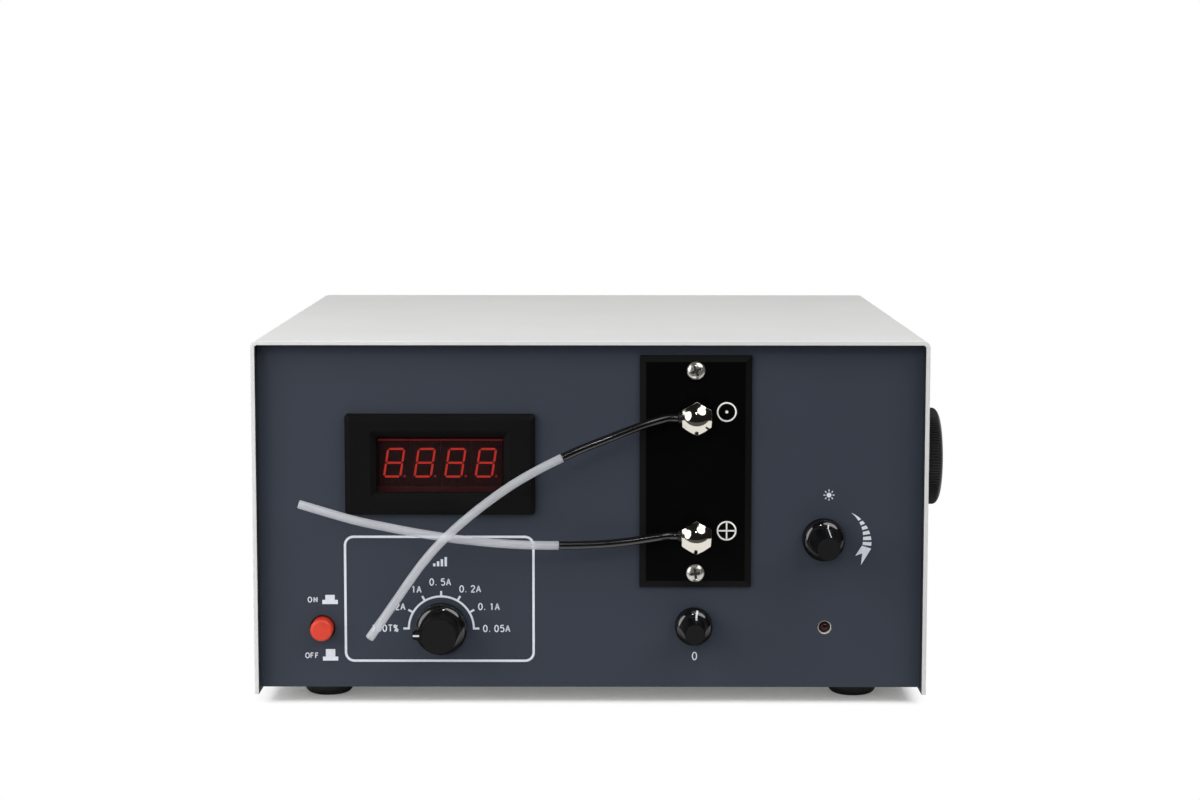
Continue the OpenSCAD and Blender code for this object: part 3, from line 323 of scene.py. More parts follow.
def newFinish(name, recipe, constants=None):
    material = bpy.data.materials.new(name)
    surface, place = freshTree(material, "Material")
    connect(surface, place.make("BsdfPrincipled", {}, {**(constants or {}), **recipe(place)}))
    return material


def follow(pattern, dark, pale, rough, spread):
    # Colour and roughness that both run with a pattern of 0 to 1
    return {"Base Color": pattern.between(dark, pale), "Roughness": rough + spread * pattern}


def facing(place):
    # Parts of the surface's own direction: across, along and up
    return place.make("TexCoord", {}, {}, "Normal").split()


def plastic(name, colour, rough=0.4, grain=1600.0, relief=0.01 * mm, spread=0.2, shine=0.5):
    # Moulded plastic or rubber: fine grain, with slow changes of colour and gloss
    def recipe(place):
        shades = scaled(colour, 1 - spread), scaled(colour, 1 + spread)
        return {**follow(place.noise(60.0), *shades, rough - 0.06, 0.12),
                "Normal": place.noise(grain).relief(relief, 0.4)}
    return newFinish(name, recipe, {specular: shine})


def metal(name, colour, rough=0.3, brushed=(1.0, 1.0, 1.0), grain=400.0, relief=0.004 * mm, metallic=1.0):
    # Bare or plated metal: stretched scratches in its gloss and faint clouds in its colour
    def recipe(place):
        scratch = place.stretch(brushed).noise(grain, 4.0)
        return {"Base Color": place.noise(50.0).between(scaled(colour, 0.88), scaled(colour, 1.06)),
                "Roughness": rough - 0.08 + 0.16 * scratch,
                "Normal": scratch.relief(relief, 0.3)}
    return newFinish(name, recipe, {"Metallic": metallic})


# Camera at the photograph's viewing angle

view = {"lens": 77.71, "sensor": 36.0, "place": (0.00618, -1.20111, 0.24431),
        "pitch": 6.1936, "yaw": -0.1156, "roll": 0.0314}


def makeCamera():
    # Right, up and backward directions from pitch, yaw and roll
    pitch, yaw, roll = (math.radians(view[key]) for key in ("pitch", "yaw", "roll"))
    ahead = np.array([math.sin(yaw) * math.cos(pitch), math.cos(yaw) * math.cos(pitch), -math.sin(pitch)])
    right = np.array([math.cos(yaw), -math.sin(yaw), 0.0])
    up = np.cross(right, ahead)
    level = math.cos(roll) * right + math.sin(roll) * up
    upright = math.cos(roll) * up - math.sin(roll) * right
    data = bpy.data.cameras.new("camera")
    data.lens = view["lens"]
    data.sensor_width = view["sensor"]
    data.sensor_fit = "HORIZONTAL"
    camera = addObject("camera", data)
    setPlace(camera, view["place"], level, upright, -ahead)
    bpy.context.scene.camera = camera


makeCamera()
print("camera placed")


# Tubes from the flow cell, along the routes of their solids

tubes = {
    "sleeve": {"diameter": 3.5, "bore": 1.6, "endRound": 0.2},
    "tube": {"diameter": 3.6, "bore": 2.0, "endRound": 0.25},
    "routes": {
        "outlet_sleeve": [
            (36.5, -139, 121.6), (33, -139, 121.6), (29.5, -139.5, 121), (23, -141, 119.2), (16, -142.5, 116.8),
            (9, -144, 114.2), (2, -145, 111.6), (-5, -146, 108.9), (-11.5, -147, 106)],
        "outlet_tube": [
            (-11.5, -147, 106), (-18, -148, 102.9), (-24.5, -149, 99.5), (-31, -149.5, 95.7), (-37, -150, 91.7),
            (-43, -151, 87.4), (-48.6, -151.5, 83), (-54.2, -152, 78.3), (-59.6, -152.5, 73.3),
            (-64.6, -153, 68), (-69.3, -153, 62.3), (-73.7, -153.5, 56.3), (-77.9, -154, 50.2),
            (-82.1, -154, 44.1), (-86.4, -154, 38), (-90.7, -154, 32)],
        "inlet_sleeve": [
            (36.5, -139, 72.4), (33, -139, 72.4), (29.5, -139.5, 72.1), (23, -140, 71.2), (16, -140.5, 70.2),
            (9, -141, 69.5), (2, -141.5, 69.1), (-5.5, -142, 68.9), (-13, -142.5, 68.9)],
        "inlet_tube": [
            (-13, -142.5, 68.9), (-20, -143, 69), (-27.5, -143.5, 69.3), (-35, -144, 69.8), (-42, -144.5, 70.4),
            (-49.5, -144.5, 71.2), (-56.5, -145, 72.1), (-63.5, -145, 73.2), (-71, -145.5, 74.5),
            (-78, -145.5, 75.8), (-85, -145.5, 77.2), (-92, -146, 78.7), (-99, -146, 80.4), (-106, -146, 82.4),
            (-113, -146, 84.5), (-120, -146, 86.6)],
    },
}


def smoothRoute(route, steps=8):
    # Cubic through every point, with each point's slope taken from its two neighbours
    point = np.asarray(route, float) * mm
    slope = np.gradient(point, axis=0)
    share = np.linspace(0, 1, steps, endpoint=False)[:, None]
    start, end = point[:-1, None], point[1:, None]
    fromStart, toEnd = slope[:-1, None], slope[1:, None]
    line = ((2 * share ** 3 - 3 * share ** 2 + 1) * start + (share ** 3 - 2 * share ** 2 + share) * fromStart
            + (3 * share ** 2 - 2 * share ** 3) * end + (share ** 3 - share ** 2) * toEnd)
    return np.vstack([line.reshape(-1, 3), point[-1]])


def hollowTube(line, sizes, sides=24):
    # Rings round the line: the outer wall from end to end and the bore back again, drawn in at the cut ends
    heading = unit(np.gradient(line, axis=0))
    across = unit(np.cross(heading, (0, 1, 0)))
    spoke = ringsRound(across, np.cross(across, heading), sides)
    soft = sizes["endRound"] * mm
    centre = np.concatenate([line[:1], line, line[-1:]])
    centre[1] += heading[0] * soft
    centre[-2] -= heading[-1] * soft
    spoke = np.concatenate([spoke[:1], spoke, spoke[-1:]])
    drawn = np.zeros((len(centre), 1, 1))
    drawn[[0, -1]] = soft
    wall = centre[:, None] + spoke * (sizes["diameter"] / 2 * mm - drawn)
    bore = centre[:, None] + spoke * (sizes["bore"] / 2 * mm + drawn)
    points = np.concatenate([wall, bore[::-1]])
    return points, [gridFaces(len(points), sides, closeRows=True, closeColumns=True)]


def tubeSilicone(place):
    # Milky clear silicone: faint clouds, half see-through; the bore's wall hardly shows
    cloud = place.noise(120.0)
    bore = place.make("Attribute", {"attribute_name": "bore"}, {}, "Fac")
    rim = place.make("LayerWeight", {}, {"Blend": 0.5}, "Facing")
    return {**follow(cloud, tone(224, 228, 236), tone(242, 244, 249), 0.08, 0.1),
            "Alpha": (0.33 - 0.24 * bore + 0.4 * rim * rim * rim).limit(),
            "Normal": cloud.relief(0.02 * mm, 0.3)}


tubeFinishes = {
    "sleeve_black": plastic("sleeve rubber", tone(13, 13, 14), 0.16, shine=0.9),
    "tube_clear": newFinish("clear silicone", tubeSilicone, {
        specular: 1.0, "Subsurface Weight": 0.5, "Subsurface Scale": 2 * mm,
        "Subsurface Radius": (1.0, 1.0, 1.0)}),
}
tubeSlots = {"sleeve": "sleeve_black", "tube": "tube_clear"}

for node, route in tubes["routes"].items():
    kind = node.split("_")[1]
    slot = tubeSlots[kind]
    line = smoothRoute(route)
    hose = makePiece(node + "_hose", [hollowTube(line, tubes[kind])], "case", slot, tubeFinishes[slot])
    inside = np.repeat([0.0, 1.0], len(hose.data.vertices) // 2)
    hose.data.attributes.new("bore", "FLOAT", "POINT").data.foreach_set("value", inside)
    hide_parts(node)
print("tubes laid")


# Finishes of the solids that stay, by material slot

def coverPaint(place):
    # Pale grey spray outside; painted shade, a dark grey, on the walls' inner faces and under the top
    across, up = facing(place)[::2]
    # Painted shade: the inner faces and the top's underside take a dark grey in place of their shadow
    inside = place.math("MAXIMUM", across * place.split()[0] < -0.07, up < -0.5)
    peel = place.noise(900.0, 3.0)
    grey = place.noise(14.0).between(tone(206, 206, 205), tone(217, 217, 216))
    return {"Base Color": inside.between(grey, tone(40, 41, 43)),
            "Roughness": 0.42 + 0.16 * peel,
            "Normal": peel.relief(0.02 * mm, 0.5)}


def panelPaint(place):
    # Dark slate spray on the face; the walls of the holes are bare aluminium
    bare = facing(place)[1].size() < 0.5
    peel = place.noise(1400.0, 3.0)
    slate = place.noise(9.0).between(tone(46, 52, 63), tone(52, 58, 70))
    return {"Base Color": bare.between(slate, tone(215, 216, 214)),
            "Metallic": bare,
            "Roughness": 0.56 - 0.2 * bare + 0.1 * peel,
            "Normal": peel.relief(0.012 * mm, 0.4)}


def windowAcrylic(place):
    # Deep red filter sheet, polished, with faint streaks
    streak = place.stretch((1.0, 1.0, 0.15)).noise(200.0)
    return follow(streak, tone(20, 4, 5), tone(28, 5, 6), 0.05, 0.06)


def digitBlock(place):
    # Dark display face of four blocks, with a dull red line where two blocks meet
    low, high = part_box("meter_display")
    share = place.math("FRACT", (place.split()[0] - low.x) * (4 / (high.x - low.x)))
    seam = (share - 0.5).size() > 0.484
    cloud = place.noise(150.0)
    dark = cloud.between(tone(44, 20, 20), tone(58, 26, 26))
    return {"Base Color": seam.between(dark, tone(96, 36, 35)), "Roughness": 0.6 + 0.1 * cloud}


def laminate(place):
    # Green board with paler tracks in two directions
    track = place.waves(160.0, "X") * place.waves(110.0, "Y") > 0.55
    speck = place.noise(700.0)
    return {"Base Color": track.between(tone(22, 66, 40), tone(44, 104, 62)),
            "Roughness": 0.38 + 0.15 * speck,
            "Normal": speck.relief(0.02 * mm, 0.3)}


def knobGloss(place):
    # Black moulding, polished on the upper shoulders near the panel and matte where fingers turn it
    along, up = facing(place)[1:]
    face = (8.0 * along.size() - 7.0).limit()
    wall = (1.6 - 6.0 * along.size()).limit()
    near = place.split()[1] > panelFace - 7.4 * mm
    upper = (2.0 * up + 0.7).limit()
    cloud = place.noise(300.0)
    dark = cloud.between(tone(7, 7, 8), tone(11, 11, 11))
    return {"Base Color": face.between(dark, tone(27, 26, 27)),
            "Roughness": 0.4 + 0.2 * face + 0.1 * cloud,
            "Coat Weight": near * upper * (1.0 - wall),
            "Normal": place.noise(2500.0).relief(0.006 * mm, 0.3)}


def jackPlastic(place):
    # Black moulding; the left output socket is red
    across, along = place.split()[:2]
    red = (across < middle("output_sockets").x) * (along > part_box("rear_panel")[1].y - 1.0 * mm)
    red = red * (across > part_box("output_sockets")[0].x - 1.0 * mm)
    cloud = place.noise(60.0)
    black = cloud.between(tone(17, 17, 18), tone(26, 26, 27))
    return {"Base Color": red.between(black, tone(150, 24, 22)),
            "Roughness": 0.36 + 0.12 * cloud,
            "Normal": place.noise(1500.0).relief(0.012 * mm, 0.4)}


def buttonRed(place):
    # Satin orange-red cap with slow changes of colour and gloss
    return {**follow(place.noise(220.0), tone(196, 44, 26), tone(226, 66, 40), 0.34, 0.16),
            "Normal": place.noise(1500.0).relief(0.012 * mm, 0.4)}


def cellMoulding(place):
    # Black plate, polished on its face and paler, as it was cut, on the bevel
    cut = facing(place)[1].size() < 0.985
    cloud = place.noise(60.0)
    face = cloud.between(tone(4, 4, 4), tone(6, 6, 6))
    return {"Base Color": cut.between(face, tone(8, 8, 7)),
            "Roughness": 0.27 + 0.25 * cut + 0.06 * cloud,
            "Normal": place.noise(1500.0).relief(0.01 * mm, 0.4)}


def coreSheets(place):
    # Stack of iron sheets seen on edge
    sheets = place.waves(300.0, "Y")
    return {**follow(sheets, tone(70, 70, 72), tone(112, 112, 112), 0.42, 0.15),
            "Normal": sheets.relief(0.1 * mm, 0.6)}


def coilWinding(place):
    # Turns of enamelled wire, one line for each
    turns = place.waves(420.0, "Z")
    return {**follow(turns, tone(112, 62, 28), tone(188, 120, 62), 0.3, 0.1),
            "Normal": turns.relief(0.15 * mm, 0.7)}


def glass(name, colour, weight):
    def recipe(place):
        return follow(place.noise(90.0), scaled(colour, 0.92), colour, 0.03, 0.04)
    return newFinish(name, recipe, {"Transmission Weight": weight, "IOR": 1.46})


finishes = {
    "cover_paint": newFinish("cover paint", coverPaint),
    "panel_paint": newFinish("panel slate", panelPaint, {specular: 0.26}),
    "plated_steel": metal("zinc sheet", tone(186, 187, 184), 0.36, (1.0, 0.12, 1.0)),
    "screw_steel": metal("satin screws", tone(205, 203, 196), 0.2, grain=5000.0, relief=0.001 * mm,
                         metallic=0.82),
    "foot_rubber": plastic("foot rubber", tone(20, 20, 20), 0.72, 900.0, 0.04 * mm),
    "meter_plastic": plastic("meter moulding", tone(14, 14, 14), 0.55, 1400.0, 0.015 * mm, shine=0.08),
    "window_red": newFinish("red window", windowAcrylic, {"Alpha": 0.3, specular: 0.25}),
    "digit_block": newFinish("display face", digitBlock),
    "circuit_board": newFinish("green laminate", laminate),
    "knob_plastic": newFinish("knob gloss", knobGloss,
                              {specular: 0.06, "Coat IOR": 1.9, "Coat Roughness": 0.06}),
    "black_plastic": newFinish("black moulding", jackPlastic),
    "button_red": newFinish("button moulding", buttonRed),
    "white_plastic": plastic("white moulding", tone(226, 226, 220), 0.4, spread=0.05),
    "lens_red": plastic("indicator lens", tone(38, 4, 5), 0.12, shine=0.3),
    "cell_black": newFinish("cell plate black", cellMoulding, {specular: 0.13}),
    "anodised_black": metal("black anodising", tone(34, 34, 36), 0.42),
    "nut_chrome": metal("nut chrome", tone(230, 226, 214), 0.09, grain=1200.0, relief=0.001 * mm),
    "quartz": glass("quartz", (0.93, 0.95, 0.97, 1.0), 0.9),
    "cast_aluminium": metal("cast aluminium", tone(172, 173, 174), 0.46, grain=700.0, relief=0.03 * mm),
    "filter_glass": glass("filter glass", tone(150, 120, 190), 0.7),
    "ceramic": plastic("socket ceramic", tone(228, 222, 206), 0.3, spread=0.06),
    "core_iron": newFinish("core sheets", coreSheets, {"Metallic": 0.8}),
    "coil_copper": newFinish("coil winding", coilWinding, {"Metallic": 0.6}),
    "contact_brass": metal("brass", tone(206, 172, 96), 0.28),
    "part_plastic": plastic("board parts", tone(38, 40, 52), 0.38),
    **tubeFinishes,
}

for solid in nodes.values():
    slot = solid.data.materials[0].name
    solid.material_slots[0].material = finishes[slot]
print("finishes set:", len(finishes))


# Cover: one bent sheet

cover = {"sheet": 1.95, "bend": 0.9, "edgeRound": 0.4, "edgeSteps": 6, "bendSteps": 9}


def coverSheet():
    # A radius turns about a centre that runs up one wall, across the top and down the other wall; the
    # sheet's two sides lie half its thickness to each side, drawn in at the lips and the lower edges
    low, high = cornersOf("top_cover")
    half, soft = cover["sheet"] / 2, cover["edgeRound"]
    edge, arc = cover["edgeSteps"], cover["bendSteps"]
    bend = cover["bend"] + half
    side = high[0] - half - bend
    top = high[2] - half - bend
    turn = np.linspace(0, math.pi / 2, edge)
    rise = soft * (1 - np.cos(turn))
    drawn = soft * (1 - np.sin(turn))
    angle = np.r_[np.full(edge, math.pi), np.linspace(math.pi, math.pi / 2, arc)]
    angle = np.r_[angle, math.pi - angle[::-1]]
    height = np.r_[low[2] + rise, np.full(arc, top)]
    height = np.r_[height, height[::-1]]
    inset = np.r_[drawn, np.zeros(2 * arc), drawn[::-1]]
    middleX = np.repeat([-side, side], edge + arc)
    depth = np.r_[low[1] + rise, high[1] - rise[::-1]]
    lipInset = np.r_[drawn, drawn[::-1]]
    thick = half - np.maximum(inset, lipInset[:, None])
    walls = []
    for sign in (1, -1):
        reach = bend + sign * thick
        x = middleX + reach * np.cos(angle)
        z = height + reach * np.sin(angle)
        walls.append(np.stack([x, depth[:, None] + 0 * x, z], -1))
    loop = np.concatenate([walls[0], walls[1][:, ::-1]], axis=1) * mm
    rows, columns = loop.shape[:2]
    here = np.arange(columns // 2 - 1)
    cap = np.stack([here, here + 1, columns - 2 - here, columns - 1 - here], -1)
    return loop, [gridFaces(rows, columns, closeColumns=True), cap, cap + (rows - 1) * columns]


sheet = makePiece("cover_sheet", [coverSheet()], "case", "cover_paint", flats=True)
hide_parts("top_cover")
print("cover bent")


# Meter: bezel and case in one moulding, the lit digits and a painted glow along the window's top

meter = {
    "bezel": (79.0, 42.0), "window": (53.0, 23.4), "case": (74.0, 37.0),
    "rows": [
        ("bezel", 0, 1.5, 0), ("bezel", 0, 1.5, 2.6), ("bezel", 0.15, 1.5, 2.85), ("bezel", 1.8, 1.0, 4.35),
        ("bezel", 2.1, 0.9, 4.5), ("window", -2.45, 0.6, 4.5), ("window", -2.2, 0.5, 4.3),
        ("window", -0.1, 0.3, 2.25), ("window", 0, 0.3, 2.05), ("window", 0, 0.3, 0), ("case", 1.6, 0.3, 0),
        ("case", 1.6, 0.3, -42.0), ("case", 0, 0.3, -42.0), ("case", 0, 0.3, 0)],
}
mask = {"rows": [("window", -1.0, 0.3, -2.0), ("window", -1.0, 0.3, -1.6),
                 ("display", -0.1, 0.1, -1.6), ("display", -0.1, 0.1, -2.0)]}
digits = {"height": 12.45, "width": 7.6, "stroke": 0.86, "gap": 0.26, "slant": 9.0, "count": 4,
          "pitch": 12.72, "first": -81.6, "foot": 95.8, "point": 0.5, "pointAside": 0.5, "pointRise": 0.6,
          "back": -1.62, "front": -1.52}
# Painted light: a glowing red line along the top of the window, which is no lamp
windowGlow = {"ends": [(-88.3, 111.6), (-36.4, 111.6)], "width": 0.6}


def displayMask():
    # Flat ring behind the window that fills the space round the display
    low, high = cornersOf("meter_display")
    sizes = {**mask, "window": meter["window"], "display": (high - low)[::2]}
    return framed(sizes, middle("meter_display"), closed=True)


def digitPatches():
    # Seven pointed bars to a digit, each a hexagon along its own direction, all leaning by the slant
    half, stroke, gap = digits["height"] / 2, digits["stroke"], digits["gap"]
    side = (digits["width"] - stroke) / 2
    reach = half - stroke / 2
    lean = math.tan(math.radians(digits["slant"]))
    middleZ = digits["foot"] + half
    bars = [((-side, z), (side, z)) for z in (-reach, 0, reach)]
    bars += [((x, z), (x, z + reach)) for x in (-side, side) for z in (-reach, 0)]
    patches = []
    for place in range(digits["count"]):
        centre = digits["first"] + place * digits["pitch"]
        for start, end in np.array(bars):
            along = unit(end - start)
            across = np.array([-along[1], along[0]]) * stroke / 2
            start, end = start + along * gap, end - along * gap
            shoulder = along * stroke / 2
            outline = np.array([start, start + shoulder + across, end - shoulder + across,
                                end, end - shoulder - across, start + shoulder - across])
            outline[:, 0] += outline[:, 1] * lean
            patches.append(plate(outline + (centre, middleZ), digits["back"], digits["front"]))
    return patches


def pointPatches():
    # One round point to the lower right of each digit
    patches = []
    for place in range(digits["count"]):
        x = digits["first"] + place * digits["pitch"] + digits["width"] / 2 + digits["pointAside"]
        outline = circle((x, digits["foot"] + digits["pointRise"]), digits["point"], 20)
        patches.append(plate(outline, digits["back"], digits["front"]))
    return patches


def maskCard(place):
    # Dark card, dull red below the display
    below = place.split()[2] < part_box("meter_display")[0].z
    cloud = place.noise(200.0)
    red = cloud.between(tone(80, 32, 30), tone(98, 40, 37))
    return {"Base Color": below.between(tone(30, 13, 13), red), "Roughness": 0.6 + 0.1 * cloud}


def glowRed(name, colour, strength):
    def recipe(place):
        cloud = place.noise(500.0)
        return {"Emission Color": cloud.between(scaled(colour, 0.9), colour), "Roughness": 0.4 + 0.1 * cloud}
    return newFinish(name, recipe, {"Base Color": (0.1, 0.005, 0.004, 1.0), "Emission Strength": strength})


moulding = framed(meter, middle("meter_window"), closed=True)
bezel = makePiece("meter_bezel", [moulding], "case", "meter_plastic", flats=True)
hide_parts("meter_housing")
lit = glowRed("lit segments", (1.0, 0.06, 0.04, 1.0), 0.85)
makePiece("digit_segments", digitPatches(), "case", "lens_red", lit)
dim = glowRed("dim points", (0.5, 0.045, 0.04, 1.0), 0.7)
makePiece("digit_points", pointPatches(), "case", "lens_red", dim)
makePiece("display_mask", [displayMask()], "case", "digit_block", newFinish("display mask", maskCard))
# Painted light: the line along the window's top glows though it is no lamp
windowGlowStroke = ribbon(windowGlow["ends"], windowGlow["width"], digits["back"], digits["front"])
makePiece("window_painted_glow", [windowGlowStroke], "case", "lens_red", glowRed("window painted glow", (0.4, 0.03, 0.03, 1.0), 0.5))
print("meter lit")


# Flow cell: bevelled plate, cap nuts, cross-head screws and the flow signs

cell = {
    "plate": (46.5, 97.0), "out": 2.2,
    "rows": [("plate", 0, 0.4, 0), ("plate", 0, 0.4, 1.35), ("plate", 0.1, 0.4, 1.45),
             ("plate", 2.6, 0.3, 2.18), ("plate", 2.75, 0.3, 2.2)],
    "signs": {"out": (56.5, 123.8), "in": (56.7, 74.1)},
    "signRadius": 3.78, "signStroke": 0.64, "dot": 0.62, "ink": 0.05, "inkBack": 0.02,
}
nut = {"flats": 12.2, "foot": 7.8, "cornerCut": 0.1, "edge": 0.25, "bore": 3.05, "deep": 12.7,
       "ball": 7.5, "top": 19.5, "tilt": 43.0, "lift": 0.8, "capSteps": 14, "coneSteps": 18, "steps": 144}
screw = {"radius": 3.8, "lip": 0.1, "rise": 2.0, "flatter": 0.15, "rim": 0.7, "seat": 0.01, "rings": 44,
         "steps": 144, "cross": 2.5, "deep": 1.3, "arm": 0.42, "slope": 0.14, "turns": (24, 8)}
# Painted shade in the screws' cross recesses: reach of the dark bars, depth below the dome's top, thickness and
# step apart
recessShade = {"reach": 1.9, "below": 0.32, "thick": 0.3, "apart": 0.001}


def hexNut(axis):
    # The smaller of a hexagon and a turned outline at every angle and height; the outline is the cap of a
    # ball that runs on as a cone, then the wall, the foot and the bore
    across = nut["flats"] / 2
    corner = across / math.cos(math.pi / 6) - nut["cornerCut"]
    tilt = math.radians(nut["tilt"])
    turn = np.linspace(0, tilt, nut["capSteps"])
    cap = np.stack([nut["ball"] * np.sin(turn), nut["top"] - nut["ball"] * (1 - np.cos(turn))], -1)
    run = np.linspace(0, corner - cap[-1, 0], nut["coneSteps"])[1:]
    cone = cap[-1] + np.stack([run, -run * math.tan(tilt)], -1)
    foot, bore, deep = nut["foot"], nut["bore"], nut["deep"]
    back = [(*cone[-1], 0), (corner, foot, nut["edge"]), (bore, foot, 0), (bore, deep, 0), (0, deep, 0)]
    profile = np.vstack([cap, cone, softLine(back, 4)[1:]])
    angle = around(nut["steps"])
    fold = np.abs((angle + math.pi / 6) % (math.pi / 3) - math.pi / 6)
    radius = np.minimum(profile[:, :1], across / np.cos(fold))
    flat = onAxis(axis, radius, angle) + (0, nut["lift"])
    return onPanel(flat, profile[:, 1:]), [gridFaces(len(profile), nut["steps"], closeColumns=True)]


def pairAxes(node):
    # Axes of two round pieces on the plate's middle line, one at each end of their common box
    low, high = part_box(node)
    axes = [middle("cell_plate"), middle("cell_plate")]
    reach = high.x - axes[0].x
    axes[0].z = high.z - reach
    axes[1].z = low.z + reach
    return axes


def panScrew(axis, turn):
    # Dome whose height dips in a cross: four arms that grow shallower outwards, with sloping walls
    edge, steps, slope = screw["radius"], screw["steps"], screw["slope"]
    radius = np.r_[np.linspace(0, edge, screw["rings"]), edge - screw["lip"]][:, None]
    angle = around(steps)
    dome = screw["rise"] * np.sqrt(np.maximum(1 - (radius / (edge + screw["flatter"])) ** 2, 0))
    along = np.abs(radius * np.cos(angle - math.radians(turn)))
    across = np.abs(radius * np.sin(angle - math.radians(turn)))
    wall = np.clip((screw["arm"] + slope - np.minimum(along, across)) / (2 * slope), 0, 1)
    depth = np.clip(screw["cross"] - np.maximum(along, across), 0, screw["deep"]) * wall
    out = cell["out"] + screw["rim"] + dome - depth
    out[-1] = cell["out"] + screw["seat"]
    groups = [gridFaces(len(radius), steps, closeColumns=True), endRows(len(radius), steps)[1:]]
    return onPanel(onAxis(axis, radius, angle), out), groups


def crossShade(axis, turn):
    # Painted shade in the recess: two dark bars of the cross, let into the head at slightly different heights
    front = cell["out"] + screw["rim"] + screw["rise"] - recessShade["below"]
    reach = np.linspace(-recessShade["reach"], recessShade["reach"], 3)
    return [ribbon(onAxis(axis, reach, math.radians(angle)), 2 * screw["arm"], front - recessShade["thick"],
                   front + recessShade["apart"] * angle) for angle in (turn, turn + 90)]


def signPatches():
    # A ring with a dot for the outlet and a ring with a cross for the inlet
    back, front = cell["out"] - cell["inkBack"], cell["out"] + cell["ink"]
    radius, stroke = cell["signRadius"], cell["signStroke"]
    rings = [ribbon(circle(centre, radius, 64), stroke, back, front, closed=True)
             for centre in cell["signs"].values()]
    dot = plate(circle(cell["signs"]["out"], cell["dot"], 24), back, front)
    x, z = cell["signs"]["in"]
    bars = [ribbon([(x - radius, z), (x + radius, z)], stroke, back, front),
            ribbon([(x, z - radius), (x, z + radius)], stroke, back, front)]
    return rings + [dot] + bars


def inkFinish(name, colour):
    # Screen-printed ink: a little uneven in colour and gloss
    def recipe(place):
        return follow(place.noise(700.0), scaled(colour, 0.88), scaled(colour, 1.1), 0.42, 0.16)
    return newFinish(name, recipe)


ink = inkFinish("white ink", tone(218, 222, 231))
face = makePiece("cell_face", [framed(cell, middle("cell_plate"))], "case", "cell_black", flats=True)
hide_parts("cell_plate")
nuts = makePiece("port_nuts", [hexNut(axis) for axis in pairAxes("tube_collars")], "case", "nut_chrome",
                 sharpAngle=24)
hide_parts("cap_nuts")
screwPlaces = list(zip(pairAxes("plate_screws"), screw["turns"]))
heads = [panScrew(*spot) for spot in screwPlaces]
screws = makePiece("cross_screws", heads, "case", "screw_steel", sharpAngle=50)
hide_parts("plate_screws")
# Painted shade: dark bars laid into the screws' cross recesses
recessShadePatches = [patch for spot in screwPlaces for patch in crossShade(*spot)]
makePiece("cross_recess_shade", recessShadePatches, "case", "screw_steel", plastic("recess painted shade", tone(40, 39, 38), 0.5))
makePiece("flow_signs", signPatches(), "case", "white_plastic", inkFinish("cream ink", tone(250, 250, 242)))
print("flow cell fitted")


# Indicator: bare ring of metal round the lens, inside the panel's hole

indicator = {"hole": 2.84, "edge": 0.1, "shoulder": 0.05, "lip": 2.78, "inner": 2.46, "front": 0.05,
             "chamfer": 0.85, "deep": -1.9, "steps": 72}


def indicatorRing(axis):
    # Closed profile carried round the axis: a chamfer at the front, then the ring's wall
    hole, inner, front, deep = (indicator[key] for key in ("hole", "inner", "front", "deep"))
    profile = [(hole, front - indicator["edge"]), (hole - indicator["shoulder"], front),
               (indicator["lip"], front), (inner, front - indicator["chamfer"]), (inner, deep), (hole, deep)]
    return turned(np.array(profile), axis, indicator["steps"], closed=True)


makePiece("indicator_rim", [indicatorRing(middle("led_lamp"))], "case", "screw_steel",
          metal("indicator metal", tone(222, 218, 206), 0.5, grain=900.0, metallic=0.2), sharpAngle=30)
print("indicator ringed")


# Control knobs: turned rim with a rounded shoulder, cone and face, hollow behind for shaft and nut

knobs = {
    "range": {"base": 10.8, "rim": 2.8, "face": 7.4, "height": 17.5, "recess": 8.0},
    "light": {"base": 8.8, "rim": 3.2, "face": 4.8, "height": 26.4, "recess": 6.27,
              "index": 77.0, "from": 6.6, "to": 26.0, "width": 0.5},
    "zero": {"base": 7.8, "rim": 3.2, "face": 4.2, "height": 19.0, "recess": 6.27,
             "index": 79.0, "from": 5.4, "to": 12.0, "width": 0.8},
    "gap": 0.6, "foot": 0.3, "shoulder": 3.1, "recessDepth": 4.9, "shaft": 3.1, "crown": 4.5, "edge": 0.4,
    "faceEdge": 0.1, "lineRise": 0.05, "lineDepth": 0.2, "steps": 128, "arcSteps": 14, "lineSteps": 40,
}
nib = {"along": (-4.2, -7.0, -9.4, -10.6, -11.0), "halfWidth": (2.9, 2.7, 1.9, 1.5, 1.1), "back": 5.0,
       "front": 1.0, "edge": 0.5, "mark": (-10.7, -8.1), "markWidth": 0.75}


def outerLine(sizes):
    # Up the rim, a quarter circle over its shoulder, straight up the cone and a quarter circle onto the face
    low, high = knobs["gap"], knobs["gap"] + sizes["height"]
    arc = spokes(np.linspace(0, math.pi / 2, knobs["arcSteps"])) - (1, 0)
    shoulder = arc * knobs["shoulder"] + (sizes["base"], low + sizes["rim"])
    brow = arc * knobs["edge"] + (sizes["face"], high - knobs["edge"])
    foot = [(sizes["base"] - knobs["foot"], low), (sizes["base"], low + knobs["foot"])]
    return np.vstack([foot, shoulder, brow])


def knobProfile(sizes):
    # From the bottom of the shaft bore round the hollow back and the outside to the middle of the face
    low, high = knobs["gap"], knobs["gap"] + sizes["height"]
    shaft, recess = knobs["shaft"], sizes["recess"]
    bottom, ceiling = high - knobs["crown"], low + knobs["recessDepth"]
    hollow = [(0, bottom), (shaft, bottom), (shaft, ceiling), (recess, ceiling), (recess, low)]
    flat = [(sizes["face"] - knobs["edge"] - knobs["faceEdge"], high), (0, high)]
    return np.vstack([hollow, outerLine(sizes), flat])


